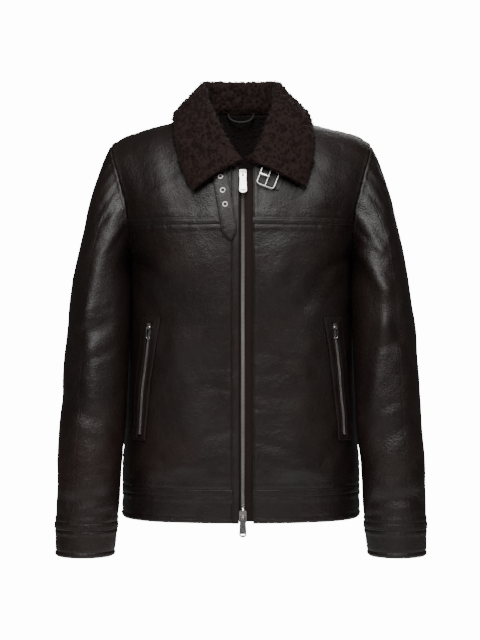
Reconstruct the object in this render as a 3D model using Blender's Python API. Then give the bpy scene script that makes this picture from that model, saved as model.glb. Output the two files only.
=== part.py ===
"""Shearling leather jacket, filled out as worn, with nobody in it.

Metres, +Z up. The front faces -Y and +X is the wearer's left. The origin is the middle of the
neck at the height of the shoulder seams' inner ends, where a wearer's neck holds the jacket.

The body is one surface worked out from rings: the depth in front of or behind the side seams is
a function of the place across (x) and the height (z). Below the armpits each ring is a
superellipse, and above them the rings close up to a ridge, the shoulder seam. Every panel is a
wall on that surface, and every strip, welt and strap is the same surface moved out.
"""

import math

import bmesh
import bpy
import numpy as np
from mathutils import Matrix, Vector

# Walls and seams
WALL = 0.004  # leather with the fleece sheared short behind it
SEAM_GAP = 0.0005
STRIP_LIFT = 0.0004  # a lapped strip's clearance over its panel
STRIP_THICK = 0.0016
STRIP_SHORT = 0.004  # how far a yoke strip ends before the armhole

# Heights of the main seams
PIT_Z = -0.240
FRONT_YOKE_Z = -0.176
BACK_YOKE_Z = -0.150
HEM_SEAM_Z = -0.6245
HEM_Z = -0.675
SIDE_BLOCK_Z = -0.300  # above this height the panels' rows bend towards the armhole
FRONT_COLUMNS = 12
BACK_COLUMNS = 21
STRIP_HIGH = 0.0115

# Front edges: the right front ends in a strip, the left front stops short of the teeth
RIGHT_FRONT_X = 0.0149
STRIP_EDGE_X = 0.0035
LEFT_FRONT_X = 0.0198
ZIP_X = 0.003
NECK_FRONT_Z = -0.085
NECK_SIDE_X = 0.080
BACK_NECK_Z = 0.020

ROUNDNESS = 2.5  # superellipse exponent of the rings
SIDE_SEAM_Y = 0.015
SHOULDER_X = 0.2225
FRONT_RISE = (1.8, 0.6)
BACK_RISE = (2.4, 0.5)


def table(names, rows):
    """Rows of numbers as one array for each named column."""
    return dict(zip(names, np.array(rows, float).T))


TORSO = table(
    ("height", "half_width", "front", "back"),
    (
        (-0.690, 0.2035, 0.139, 0.109),
        (-0.660, 0.2037, 0.140, 0.110),
        (-0.625, 0.2022, 0.141, 0.111),
        (-0.597, 0.2034, 0.145, 0.114),
        (-0.562, 0.2015, 0.146, 0.113),
        (-0.511, 0.1975, 0.145, 0.108),
        (-0.430, 0.1940, 0.146, 0.104),
        (-0.347, 0.1915, 0.152, 0.108),
        (-0.292, 0.1900, 0.157, 0.114),
        (-0.240, 0.1900, 0.160, 0.120),
        (-0.200, 0.1985, 0.160, 0.122),
        (-0.165, 0.2090, 0.160, 0.122),
        (-0.112, 0.2260, 0.160, 0.120),
        (-0.060, 0.2390, 0.160, 0.120),
        (0.060, 0.2500, 0.160, 0.120),
    ),
)
# The shoulder seam's height along its run out from the neck
RIDGE = table(
    ("across", "height"),
    (
        (0.000, 0.056),
        (0.050, 0.042),
        (0.080, 0.019),
        (0.118, 0.000),
        (0.161, -0.0125),
        (0.1925, -0.022),
        (0.212, -0.032),
        (0.2225, -0.041),
        (0.240, -0.060),
    ),
)
# The armhole seam: how far round the ring it lies, for each turn from the shoulder to the armpit
ARMHOLE = table(
    ("turn", "front", "back"),
    (
        (0.0, 63.0, 63.0),
        (30.0, 63.6, 63.2),
        (60.0, 61.6, 60.4),
        (90.0, 60.7, 58.8),
        (120.0, 67.0, 65.0),
        (150.0, 78.5, 77.5),
        (180.0, 90.0, 90.0),
    ),
)
SLEEVE = table(
    ("height", "centre_x", "half_width", "centre_y", "half_depth"),
    (
        (-0.2925, 0.2383, 0.0500, -0.030, 0.0745),
        (-0.347, 0.2413, 0.0528, -0.040, 0.0730),
        (-0.428, 0.2452, 0.0550, -0.052, 0.0690),
        (-0.507, 0.2487, 0.0558, -0.062, 0.0650),
        (-0.557, 0.2524, 0.0548, -0.067, 0.0620),
        (-0.591, 0.2545, 0.0538, -0.070, 0.0600),
        (-0.645, 0.2566, 0.0527, -0.074, 0.0570),
        (-0.6735, 0.2584, 0.0512, -0.075, 0.0550),
        (-0.703, 0.2593, 0.0507, -0.077, 0.0530),
        (-0.732, 0.2610, 0.0490, -0.078, 0.0515),
    ),
)
CUFF_SEAM_Z = -0.681
CUFF_Z = -0.732
YOKE_STEPS = 8  # stretches of the armhole beside a yoke, and below it to the armpit
LOWER_STEPS = 5
FRONT_SEAM_STEP = 5  # the sleeve's front seam meets the yoke's armhole at this stretch
DEGREE_OF_SLEEVE = 0.00105  # metres round a sleeve for one degree
SLEEVE_SEAM_HALF = 0.24  # half the gap between a sleeve's two halves, in degrees
SLEEVE_CLEAR = 0.0012  # how far a sleeve stays from the body's side

# Largest folds: a soft ridge (or trough, where high is negative) along a line on the surface
FRONT_FOLDS = table(
    ("x0", "z0", "x1", "z1", "wide", "high"),
    (
        (-0.150, -0.060, -0.120, -0.155, 0.020, 0.0030),
        (0.150, -0.070, 0.125, -0.150, 0.020, 0.0026),
        (-0.165, -0.250, -0.120, -0.300, 0.018, -0.0030),
        (0.165, -0.245, 0.110, -0.310, 0.018, -0.0034),
        (-0.070, -0.560, -0.100, -0.380, 0.030, 0.0030),
        (0.080, -0.570, 0.100, -0.400, 0.030, 0.0034),
        (-0.150, -0.590, -0.060, -0.575, 0.014, 0.0022),
        (0.060, -0.580, 0.150, -0.592, 0.014, 0.0024),
        (0.045, -0.330, 0.060, -0.230, 0.026, 0.0022),
    ),
)
BACK_FOLDS = table(
    ("x0", "z0", "x1", "z1", "wide", "high"),
    (
        (-0.165, -0.235, -0.095, -0.330, 0.022, -0.0036),
        (0.165, -0.240, 0.085, -0.345, 0.022, -0.0032),
        (-0.140, -0.430, 0.030, -0.455, 0.026, -0.0036),
        (0.150, -0.470, -0.010, -0.500, 0.024, -0.0032),
        (-0.060, -0.585, 0.090, -0.578, 0.016, 0.0030),
        (0.020, -0.330, 0.030, -0.210, 0.030, 0.0022),
    ),
)
SLEEVE_FOLDS = {
    "right": table(
        ("turn0", "z0", "turn1", "z1", "wide", "high"),
        (
            (95.0, -0.170, 75.0, -0.330, 0.016, 0.0045),
            (75.0, -0.330, 95.0, -0.470, 0.018, 0.0035),
            (40.0, -0.385, 110.0, -0.345, 0.016, -0.0045),
            (20.0, -0.470, 100.0, -0.500, 0.018, -0.0035),
            (-150.0, -0.330, -70.0, -0.370, 0.018, -0.0050),
            (-140.0, -0.420, -60.0, -0.450, 0.016, -0.0040),
            (60.0, -0.640, 150.0, -0.625, 0.013, -0.0032),
            (-60.0, -0.560, -140.0, -0.590, 0.016, -0.0032),
        ),
    ),
    "left": table(
        ("turn0", "z0", "turn1", "z1", "wide", "high"),
        (
            (120.0, -0.230, 88.0, -0.290, 0.015, 0.0048),
            (88.0, -0.290, 92.0, -0.350, 0.016, 0.0050),
            (92.0, -0.350, 118.0, -0.460, 0.016, 0.0042),
            (30.0, -0.400, 80.0, -0.350, 0.016, -0.0040),
            (30.0, -0.500, 110.0, -0.530, 0.018, -0.0035),
            (-150.0, -0.340, -75.0, -0.365, 0.018, -0.0050),
            (-135.0, -0.440, -60.0, -0.455, 0.016, -0.0040),
            (50.0, -0.630, 140.0, -0.640, 0.013, -0.0032),
            (-50.0, -0.575, -140.0, -0.560, 0.016, -0.0032),
        ),
    ),
}

# Collar: the roll line round the neck, from the middle of the back (turn 0) to the front end
COLLAR_THICK = 0.0085
COLLAR_ROLL = 0.0042  # inside radius of the fold
COLLAR_SEAT = 0.0012
ROLL = table(
    ("turn", "right_x", "left_x", "y", "z"),
    (
        (0.0, 0.0000, 0.0000, 0.067, 0.0660),
        (30.0, 0.0370, 0.0370, 0.061, 0.0660),
        (60.0, 0.0640, 0.0640, 0.040, 0.0630),
        (90.0, 0.0680, 0.0660, 0.004, 0.0470),
        (115.0, 0.0595, 0.0625, -0.038, 0.0225),
        (140.0, 0.0435, 0.0510, -0.078, -0.0120),
        (165.0, 0.0220, 0.0350, -0.109, -0.0530),
        (180.0, 0.0040, 0.0165, -0.127, -0.0790),
    ),
)
COLLAR_END = 0.62  # share of the wool and the fold's radius left at the front ends
# The fall's outer edge in the front view, for each front
FALL = {
    "right": table(
        ("turn", "x", "z"),
        (
            (0.0, 0.000, -0.012),
            (30.0, 0.040, -0.012),
            (60.0, 0.083, -0.009),
            (88.0, 0.112, 0.0025),
            (108.0, 0.109, -0.022),
            (130.0, 0.103, -0.062),
            (155.0, 0.092, -0.100),
            (180.0, 0.0775, -0.130),
        ),
    ),
    "left": table(
        ("turn", "x", "z"),
        (
            (0.0, 0.000, -0.012),
            (30.0, 0.040, -0.012),
            (60.0, 0.083, -0.009),
            (88.0, 0.113, 0.0020),
            (108.0, 0.117, -0.020),
            (130.0, 0.117, -0.056),
            (155.0, 0.1125, -0.092),
            (180.0, 0.1035, -0.1225),
        ),
    ),
}

# Throat strap and buckle
STRAP_LIFT = 0.0026
STRAP_THICK = 0.0024
STRAP_WIDE = 0.0255
STRAP_TOP = (-0.0365, -0.0865)
STRAP_TIP = (-0.0165, -0.2085)
EYELETS_Z = (-0.1043, -0.1272, -0.1504)
EYELET_RADIUS = 0.0050
EYELET_HOLE = 0.0024
BUCKLE_CENTRE = (0.0444, -0.1052)
BUCKLE_SLOPE = math.radians(-21.6)
BUCKLE_LONG = 0.0325
BUCKLE_WIDE = 0.0370
BUCKLE_WIRE = 0.0015
PRONG_THICK = 0.0012
PRONG_EYE = 0.0014  # inside radius of the prong's eye round the bar
TAB_WIDE = 0.0285
TAB_THICK = 0.0022
TAB_LONG = 0.0355
TAB_INSET = 0.004  # from the frame's free end

# Pockets: the zip line's ends, and the welt's width at its top and bottom
POCKET_TOP = (0.1475, -0.3335)
POCKET_FOOT = (0.1690, -0.5405)
POCKET_TOP_WIDE = 0.0300
POCKET_FOOT_WIDE = 0.0205
POCKET_SLOT = 0.0072
POCKET_SHIFT = {"right": 0.0, "left": 0.003}
POCKET_SLIDER_DOWN = 0.016
POCKET_LIFT = 0.0018
POCKET_CHAIN_THICK = 0.0014

# Centre zip
CHAIN_TOP_Z = -0.106
CHAIN_FOOT_Z = -0.6520
CHAIN_HALF = 0.0031
CHAIN_THICK = 0.0032
CHAIN_LIFT = -0.0006
TAPE_LIFT = -0.0053
TAPE_THICK = 0.0010
PIVOT_LIFT = 0.0022
TOP_PIVOT_Z = -0.0990
FOOT_PIVOT_Z = -0.6640
HANGER_Y = 0.0544  # the loop lies on the inside of the back neck's seam

SIDES = {"right": -1.0, "left": 1.0}

COLOURS = {
    "leather": ((0.020, 0.014, 0.012), 0.42, 0.0),
    "wool": ((0.020, 0.009, 0.007), 0.95, 0.0),
    "tape": ((0.030, 0.016, 0.014), 0.85, 0.0),
    "nickel": ((0.62, 0.59, 0.56), 0.30, 1.0),
    "polished": ((0.80, 0.79, 0.78), 0.16, 1.0),
}


def clear_scene():
    for thing in list(bpy.data.objects):
        bpy.data.objects.remove(thing, do_unlink=True)


def smooth(at, stations, values):
    """Cubic through the stations, with slopes limited so that it never overshoots."""
    at = np.clip(np.asarray(at, float), stations[0], stations[-1])
    step = np.diff(stations)
    slope = np.diff(values) / step
    tangent = np.zeros(len(stations))
    same_way = slope[1:] * slope[:-1] > 0
    mean = 2 * slope[1:] * slope[:-1] / np.where(same_way, slope[1:] + slope[:-1], 1.0)
    tangent[1:-1] = np.where(same_way, mean, 0.0)
    tangent[0] = slope[0]
    tangent[-1] = slope[-1]
    cell = np.clip(np.searchsorted(stations, at, side="right") - 1, 0, len(step) - 1)
    t = (at - stations[cell]) / step[cell]
    start = values[cell] * (1 + 2 * t) * (1 - t) ** 2 + tangent[cell] * step[cell] * t * (1 - t) ** 2
    end = values[cell + 1] * t**2 * (3 - 2 * t) - tangent[cell + 1] * step[cell] * t**2 * (1 - t)
    return start + end


def soft_step(share):
    share = np.clip(share, 0.0, 1.0)
    return share * share * (3 - 2 * share)


def unit(vectors):
    return vectors / np.maximum(np.linalg.norm(vectors, axis=-1, keepdims=True), 1e-12)


def fold_height(across, height, folds):
    """Sum of the soft ridges: each falls off as a bell with the distance to its line."""
    names = list(folds)
    total = np.zeros(np.broadcast(across, height).shape)
    for a0, z0, a1, z1, wide, high in zip(*(folds[name] for name in names)):
        run = np.array([a1 - a0, z1 - z0])
        share = ((across - a0) * run[0] + (height - z0) * run[1]) / (run @ run)
        share = np.clip(share, 0.0, 1.0)
        away = (across - a0 - share * run[0]) ** 2 + (height - z0 - share * run[1]) ** 2
        total = total + high * np.exp(-away / wide**2)
    return total


# ---- body surface ----


def ridge_z(x):
    return smooth(np.abs(x), RIDGE["across"], RIDGE["height"])


def climbed(x, z):
    """0 at the armpit's height and below, 1 on the shoulder seam."""
    return np.clip((z - PIT_Z) / (ridge_z(x) - PIT_Z), 0.0, 1.0)


def ring_parts(x, z, front):
    half = smooth(z, TORSO["height"], TORSO["half_width"])
    depth = smooth(z, TORSO["height"], TORSO["front" if front else "back"])
    power, curve = FRONT_RISE if front else BACK_RISE
    share = climbed(x, z)
    side = (1 - np.clip(np.abs(x) / half, 0, 1) ** ROUNDNESS) ** (1 / ROUNDNESS)
    rise = (1 - share**power) ** curve
    middle = SIDE_SEAM_Y * (1 - soft_step(share))
    return half, depth, side, rise, share, middle


def torso_normals(points, front):
    """Outward, as the gradient of whichever form of the ring's equation is well behaved."""
    power, curve = FRONT_RISE if front else BACK_RISE
    sign = -1.0 if front else 1.0

    def both(at):
        x, y, z = at[..., 0], at[..., 1], at[..., 2]
        half, depth, side, rise, share, middle = ring_parts(x, z, front)
        out = np.maximum(sign * (y - middle) - SEAM_GAP / 2, 0.0)
        ring = (out / np.maximum(depth * rise, 1e-5)) ** ROUNDNESS + (np.abs(x) / half) ** ROUNDNESS
        arch = (out / np.maximum(depth * side, 1e-5)) ** (1 / curve) + share**power
        return ring, arch

    step = 2e-6
    ring_slope, arch_slope = [], []
    for axis in range(3):
        shift = np.zeros(3)
        shift[axis] = step
        ring_high, arch_high = both(points + shift)
        ring_low, arch_low = both(points - shift)
        ring_slope.append(ring_high - ring_low)
        arch_slope.append(arch_high - arch_low)
    ring_slope = unit(np.stack(ring_slope, axis=-1) / step)
    arch_slope = unit(np.stack(arch_slope, axis=-1) / step)
    share = climbed(points[..., 0], points[..., 2])[..., None]
    return unit(np.where(share > 0.4, arch_slope, ring_slope))


def torso(x, z, front, lift=0.0):
    """Points and outward normals of the body at places across and heights, moved out by lift."""
    x, z = np.broadcast_arrays(np.asarray(x, float), np.asarray(z, float))
    _, depth, side, rise, _, middle = ring_parts(x, z, front)
    out = SEAM_GAP / 2 + depth * side * rise
    y = middle + (-out if front else out)
    points = np.stack([x, y, z], axis=-1)
    normals = torso_normals(points, front)
    ridge = fold_height(x, z, FRONT_FOLDS if front else BACK_FOLDS)
    return points + normals * (ridge + lift)[..., None], normals


def across_at(angle, z):
    """Place across of the ring's point at this angle from its middle, 90 at the side seam."""
    half = smooth(z, TORSO["height"], TORSO["half_width"])
    return half * np.sin(np.radians(angle)) ** (2 / ROUNDNESS)


def angle_at(x, z):
    half = smooth(z, TORSO["height"], TORSO["half_width"])
    return np.degrees(np.arcsin(np.clip(np.abs(x) / half, 0, 1) ** (ROUNDNESS / 2)))


def armhole(turn, front):
    """Ring angle and height of the armhole seam, turn 0 at the shoulder and 180 at the armpit."""
    top = float(ridge_z(SHOULDER_X))
    z = PIT_Z + (top - PIT_Z) * (1 + np.cos(np.radians(turn))) / 2
    angle = smooth(turn, ARMHOLE["turn"], ARMHOLE["front" if front else "back"])
    top_angle = angle_at(SHOULDER_X, top)
    angle = angle + (top_angle - ARMHOLE["front"][0]) * np.clip(1 - turn / 60.0, 0, 1)
    return angle, z


def armhole_turn(z):
    top = float(ridge_z(SHOULDER_X))
    return np.degrees(np.arccos(np.clip(2 * (z - PIT_Z) / (top - PIT_Z) - 1, -1, 1)))


def yoke_turns(front):
    """Turns of the armhole's stretches beside the yoke, from the shoulder down."""
    return np.linspace(0, armhole_turn(FRONT_YOKE_Z if front else BACK_YOKE_Z), YOKE_STEPS + 1)


def lower_turns(front):
    return np.linspace(yoke_turns(front)[-1], 180, LOWER_STEPS + 1)


# ---- meshes ----


def own_material(name, kind):
    colour, roughness, metallic = COLOURS[kind]
    material = bpy.data.materials.new(name)
    material.use_nodes = True
    shader = next(n for n in material.node_tree.nodes if n.type == "BSDF_PRINCIPLED")
    shader.inputs["Base Color"].default_value = (*colour, 1.0)
    shader.inputs["Roughness"].default_value = roughness
    shader.inputs["Metallic"].default_value = metallic
    return material


def add_object(name, points, faces, kind, matrix=None):
    mesh = bpy.data.meshes.new(name)
    mesh.from_pydata([tuple(p) for p in points], [], faces)
    mesh.shade_smooth()
    mesh.set_sharp_from_angle(angle=math.radians(40))
    obj = bpy.data.objects.new(name, mesh)
    obj.data.materials.append(own_material(name, kind))
    if matrix is not None:
        obj.matrix_world = matrix
    bpy.context.scene.collection.objects.link(obj)
    return obj


def slab(name, outer, inner, kind, ring=False, matrix=None):
    """One closed body between two grids of points. ring joins the first row to the last."""
    across = np.roll(outer, -1, axis=0)[: len(outer) - 1, :-1] - outer[:-1, :-1]
    along = outer[:-1, 1:] - outer[:-1, :-1]
    facing = (np.cross(across, along) * (outer - inner)[:-1, :-1]).sum()
    if facing < 0:
        outer, inner = outer[:, ::-1], inner[:, ::-1]
    rows, columns = outer.shape[:2]
    number = np.arange(rows * columns).reshape(rows, columns)
    if ring:
        number = np.vstack([number, number[:1]])
    under = number + rows * columns
    faces = []

    def quads(a, b, c, d):
        faces.extend(np.stack([a, b, c, d], axis=-1).reshape(-1, 4).tolist())

    quads(number[:-1, :-1], number[1:, :-1], number[1:, 1:], number[:-1, 1:])
    quads(under[:-1, :-1], under[:-1, 1:], under[1:, 1:], under[1:, :-1])
    quads(number[:-1, 0], under[:-1, 0], under[1:, 0], number[1:, 0])
    quads(number[:-1, -1], number[1:, -1], under[1:, -1], under[:-1, -1])
    if not ring:
        quads(number[0, :-1], number[0, 1:], under[0, 1:], under[0, :-1])
        quads(number[-1, :-1], under[-1, :-1], under[-1, 1:], number[-1, 1:])
    points = np.concatenate([outer.reshape(-1, 3), inner.reshape(-1, 3)])
    return add_object(name, points, faces, kind, matrix)


def panel(name, x, z, front, kind="leather", thick=WALL, lift=0.0, ring=False):
    """Wall of the body over a grid of places: its outer face is at lift."""
    outer, normals = torso(x, z, front, lift)
    return slab(name, outer, outer - normals * thick, kind, ring)


def grid(rows, columns):
    return np.meshgrid(np.linspace(0, 1, rows), np.linspace(0, 1, columns), indexing="ij")


# ---- body panels ----


def lower_rows(yoke_z, front, rows_below=13, rows_above=8):
    """Heights at the middle, and the edge's ring angle and height, for each row of a panel."""
    strip_top = HEM_SEAM_Z + STRIP_HIGH / 2
    low = np.linspace(strip_top, SIDE_BLOCK_Z, rows_below - 1)
    low = np.concatenate([[HEM_SEAM_Z + SEAM_GAP / 2], low])
    high = np.linspace(SIDE_BLOCK_Z, yoke_z - SEAM_GAP / 2, rows_above)[1:]
    share = np.linspace(0, 1, rows_above)[1:]
    seam_share = (rows_above - 1 - LOWER_STEPS) / (rows_above - 1)
    turn = np.concatenate([np.full(rows_above - 2 - LOWER_STEPS, 180), lower_turns(front)[::-1]])
    turn[-1] = armhole_turn(yoke_z - SEAM_GAP / 2)
    angle, hole_z = armhole(turn, front)
    seam_z = SIDE_BLOCK_Z + (PIT_Z - SIDE_BLOCK_Z) * np.clip(share / seam_share, 0, 1)
    on_hole = share > seam_share + 1e-9
    edge_z = np.where(on_hole, hole_z, seam_z)
    edge_angle = np.where(on_hole, angle, 90.0)
    middle = np.concatenate([low, high])
    return middle, np.concatenate([np.full(rows_below, 90.0), edge_angle]), np.concatenate([low, edge_z])


def front_edge(side):
    return RIGHT_FRONT_X + SEAM_GAP / 2 if side == "right" else LEFT_FRONT_X


def make_front_lower(side):
    middle, edge_angle, edge_z = lower_rows(FRONT_YOKE_Z, True)
    share = np.linspace(0, 1, FRONT_COLUMNS)[:, None]
    z = middle + (edge_z - middle) * soft_step(share)
    first = angle_at(front_edge(side), z)
    angle = first + (edge_angle - first) * share
    x = across_at(angle, z)
    panel(f"front_lower_{side}", x * SIDES[side], z, True)


def make_back_lower():
    middle, edge_angle, edge_z = lower_rows(BACK_YOKE_Z, False)
    share = np.linspace(-1, 1, BACK_COLUMNS)[:, None]
    z = middle + (edge_z - middle) * soft_step(np.abs(share))
    x = across_at(edge_angle * np.abs(share), z) * np.sign(share)
    panel("back_lower", x, z, False)


def front_neckline(share, side):
    """Quarter ellipse from the front edge (0) to the shoulder seam's inner end (1)."""
    quarter = share * math.pi / 2
    first = front_edge(side)
    x = first + (NECK_SIDE_X - first) * np.sin(quarter)
    top = float(ridge_z(NECK_SIDE_X))
    return x, NECK_FRONT_Z + (top - NECK_FRONT_Z) * (1 - np.cos(quarter))


def back_neckline(x):
    top = float(ridge_z(NECK_SIDE_X))
    return BACK_NECK_Z + (top - BACK_NECK_Z) * (np.abs(x) / NECK_SIDE_X) ** 4


def height_of(climb, x):
    return PIT_Z + (ridge_z(x) - PIT_Z) * climb


def rising(climb):
    """Even spacing near the shoulder ridge, where the surface turns over."""
    return 1 - np.sqrt(1 - np.clip(climb, 0, 1))


def risen(level):
    return 1 - (1 - level) ** 2


def make_front_yoke(side, edge_rows=3, neck_rows=7):
    yoke_z = FRONT_YOKE_Z + SEAM_GAP / 2
    edge_z = np.linspace(yoke_z, NECK_FRONT_Z, edge_rows)
    neck_x, neck_z = front_neckline(np.linspace(0, 1, neck_rows)[1:], side)
    inner_x = np.concatenate([np.full(edge_rows, front_edge(side)), neck_x])
    inner_z = np.concatenate([edge_z, neck_z])
    turn = yoke_turns(True)[::-1]
    turn[0] = armhole_turn(yoke_z)
    angle, outer_z = armhole(turn, True)
    outer_x = across_at(angle, outer_z)
    share = np.linspace(0, 1, FRONT_COLUMNS)[:, None]
    start = angle_at(front_edge(side), yoke_z)
    bottom = across_at(start + (angle[0] - start) * share, yoke_z)
    spread = (bottom - bottom[0]) / (bottom[-1] - bottom[0])
    inner_level = rising(climbed(inner_x, inner_z))
    outer_level = rising(climbed(outer_x, outer_z))
    x = inner_x + (outer_x - inner_x) * spread
    z = height_of(risen(inner_level + (outer_level - inner_level) * spread), x)
    z[:, 0] = yoke_z
    panel(f"front_yoke_{side}", x * SIDES[side], z, True)


def make_back_yoke():
    yoke_z = BACK_YOKE_Z + SEAM_GAP / 2
    turn = yoke_turns(False)[::-1]
    turn[0] = armhole_turn(yoke_z)
    angle, outer_z = armhole(turn, False)
    outer_x = across_at(angle, outer_z)
    across = np.linspace(-1, 1, BACK_COLUMNS)[:, None]
    neck_share = NECK_SIDE_X / SHOULDER_X
    spread = np.sign(across) * np.where(
        np.abs(across) < 0.5,
        np.sin(np.abs(across) * math.pi) * neck_share,
        neck_share + (np.abs(across) - 0.5) / 0.5 * (1 - neck_share),
    )
    bottom_share = np.abs(across_at(angle[0] * np.abs(across), yoke_z) / outer_x[0])
    up = np.linspace(0, 1, len(turn))
    share = np.sign(across) * (bottom_share * (1 - up) + np.abs(spread) * up)
    x = share * outer_x
    top_x = np.abs(spread) * SHOULDER_X
    top = np.where(top_x < NECK_SIDE_X - 1e-6, climbed(top_x, back_neckline(top_x)), 1.0)
    bottom = rising(climbed(x[:, :1], yoke_z))
    edge_level = rising(climbed(outer_x, outer_z))
    along = (edge_level - edge_level[0]) / (edge_level[-1] - edge_level[0])
    level = bottom + (rising(top) - bottom) * along
    z = height_of(risen(level), x)
    z[:, 0] = yoke_z
    panel("back_yoke", x, z, False)


def band(name, x0, x1, z_low, z_high, front, columns, rows=3, thick=WALL, lift=0.0):
    """Horizontal band; x0 and x1 may be arrays, one for each row of heights."""
    z = np.linspace(z_low, z_high, rows)
    start = np.sign(x0) * angle_at(x0, z)
    end = np.sign(x1) * angle_at(x1, z)
    angle = start + (end - start) * np.linspace(0, 1, columns)[:, None]
    x = np.sign(angle) * across_at(np.abs(angle), z)
    return panel(name, x, np.broadcast_to(z, x.shape), front, "leather", thick, lift)


def make_hem():
    low, high = HEM_Z, HEM_SEAM_Z - SEAM_GAP / 2
    strip_low, strip_high = HEM_SEAM_Z - STRIP_HIGH / 2, HEM_SEAM_Z + STRIP_HIGH / 2
    strip = {"rows": 3, "thick": STRIP_THICK, "lift": STRIP_LIFT + STRIP_THICK}
    for side, sign in SIDES.items():
        first = sign * front_edge(side)
        band(f"hem_front_{side}", first, sign, low, high, True, FRONT_COLUMNS, 4)
        name = f"hem_strip_front_{side}"
        band(name, first, sign, strip_low, strip_high, True, FRONT_COLUMNS, **strip)
    band("hem_back", -1.0, 1.0, low, high, False, BACK_COLUMNS, 4)
    band("hem_strip_back", -1.0, 1.0, strip_low, strip_high, False, BACK_COLUMNS, **strip)


def make_yoke_strips():
    strip = {"rows": 2, "thick": STRIP_THICK, "lift": STRIP_LIFT + STRIP_THICK}
    for front, yoke_z in ((True, FRONT_YOKE_Z), (False, BACK_YOKE_Z)):
        z = np.linspace(yoke_z - STRIP_HIGH / 2, yoke_z + STRIP_HIGH / 2, 2)
        angle, _ = armhole(armhole_turn(z), front)
        end = across_at(angle, z) - STRIP_SHORT
        if not front:
            band("yoke_strip_back", -end, end, z[0], z[1], front, BACK_COLUMNS, **strip)
            continue
        for side, sign in SIDES.items():
            first = sign * (front_edge(side) + SEAM_GAP)
            name = f"yoke_strip_front_{side}"
            band(name, first, sign * end, z[0], z[1], front, FRONT_COLUMNS, **strip)


def make_front_edge():
    z = np.linspace(HEM_Z, NECK_FRONT_Z, 20)
    x = np.array([-RIGHT_FRONT_X + SEAM_GAP / 2, -STRIP_EDGE_X])[:, None]
    x, z = np.broadcast_arrays(x, z)
    panel("front_edge_right", x, z, True, "leather", WALL, 0.0006)


# ---- sleeves ----


def sleeve_start(turn):
    """Armhole seam, the body's outward normal there and the way out of the body along it."""
    points = np.zeros((*turn.shape, 3))
    normals = np.zeros_like(points)
    wrapped = (turn + 180) % 360 - 180
    for front in (True, False):
        chosen = wrapped >= 0 if front else wrapped < 0
        angle, z = armhole(np.abs(wrapped), front)
        place, normal = torso(across_at(angle, z), z, front)
        points[chosen], normals[chosen] = place[chosen], normal[chosen]
    return points, normals


def sleeve_section(turn, z):
    centre_x = smooth(z, SLEEVE["height"][::-1], SLEEVE["centre_x"][::-1])
    centre_y = smooth(z, SLEEVE["height"][::-1], SLEEVE["centre_y"][::-1])
    half_width = smooth(z, SLEEVE["height"][::-1], SLEEVE["half_width"][::-1])
    half_depth = smooth(z, SLEEVE["height"][::-1], SLEEVE["half_depth"][::-1])
    around = np.radians(turn)
    x = centre_x + half_width * np.cos(around)
    y = centre_y - half_depth * np.sin(around)
    return np.stack(np.broadcast_arrays(x, y, z), axis=-1)


def sleeve_bare(turn, run):
    """Sleeve with no folds: run 0 to 1 is the cap, 1 to 2 the tube down to the cuff's seam.

    The cap's lines are Hermite curves from the armhole to the first section."""
    turn, run = np.broadcast_arrays(np.asarray(turn, float), np.asarray(run, float))
    around = np.radians(turn)
    start, normals = sleeve_start(turn)
    pit = soft_step((np.abs((turn + 180) % 360 - 180) - 100) / 80)
    step = 0.5
    ahead, _ = sleeve_start(turn + step)
    behind, _ = sleeve_start(turn - step)
    outward = unit(np.cross(normals, ahead - behind))
    start = start + SEAM_GAP * (outward + 1.6 * pit[..., None] * normals)
    first_z = SLEEVE["height"][0]
    end = sleeve_section(turn, np.full(turn.shape, first_z))
    below = sleeve_section(turn, np.full(turn.shape, first_z - 0.03))
    reach = np.linalg.norm(end - start, axis=-1, keepdims=True)
    leave = np.stack(
        [
            0.030 * (1 + np.cos(around)) + 0.050 * np.sin(around) ** 2 + 0.014 * pit,
            -0.045 * np.sin(around),
            -0.055 - 0.085 * np.sin(around) ** 2,
        ],
        axis=-1,
    )
    arrive = unit(below - end) * reach
    t = np.clip(run, 0, 1)[..., None]
    cap = (
        start * (1 + 2 * t) * (1 - t) ** 2
        + leave * t * (1 - t) ** 2
        + end * t * t * (3 - 2 * t)
        - arrive * t * t * (1 - t)
    )
    z = first_z + (CUFF_SEAM_Z - first_z) * np.clip(run - 1, 0, 1.2)
    return np.where(run[..., None] <= 1, cap, sleeve_section(turn, z))


def clear_of_body(points, share):
    """Moves points outwards, softly, to where a sleeve just clears the body it hangs against."""
    x, y, z = points[..., 0], points[..., 1], points[..., 2]
    half = smooth(z, TORSO["height"], TORSO["half_width"])
    front = smooth(z, TORSO["height"], TORSO["front"])
    back = smooth(z, TORSO["height"], TORSO["back"])
    depth = np.where(y < SIDE_SEAM_Y, front, back)
    away = np.clip(np.abs(y - SIDE_SEAM_Y) / depth, 0, 1)
    wanted = half * (1 - away**ROUNDNESS) ** (1 / ROUNDNESS) + SLEEVE_CLEAR
    short = np.where(z < PIT_Z + 0.012, wanted - x, -1.0)
    push = (short + np.sqrt(short**2 + SLEEVE_CLEAR**2)) / 2 * share
    return points + push[..., None] * np.array([1.0, 0.0, 0.0])


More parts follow.
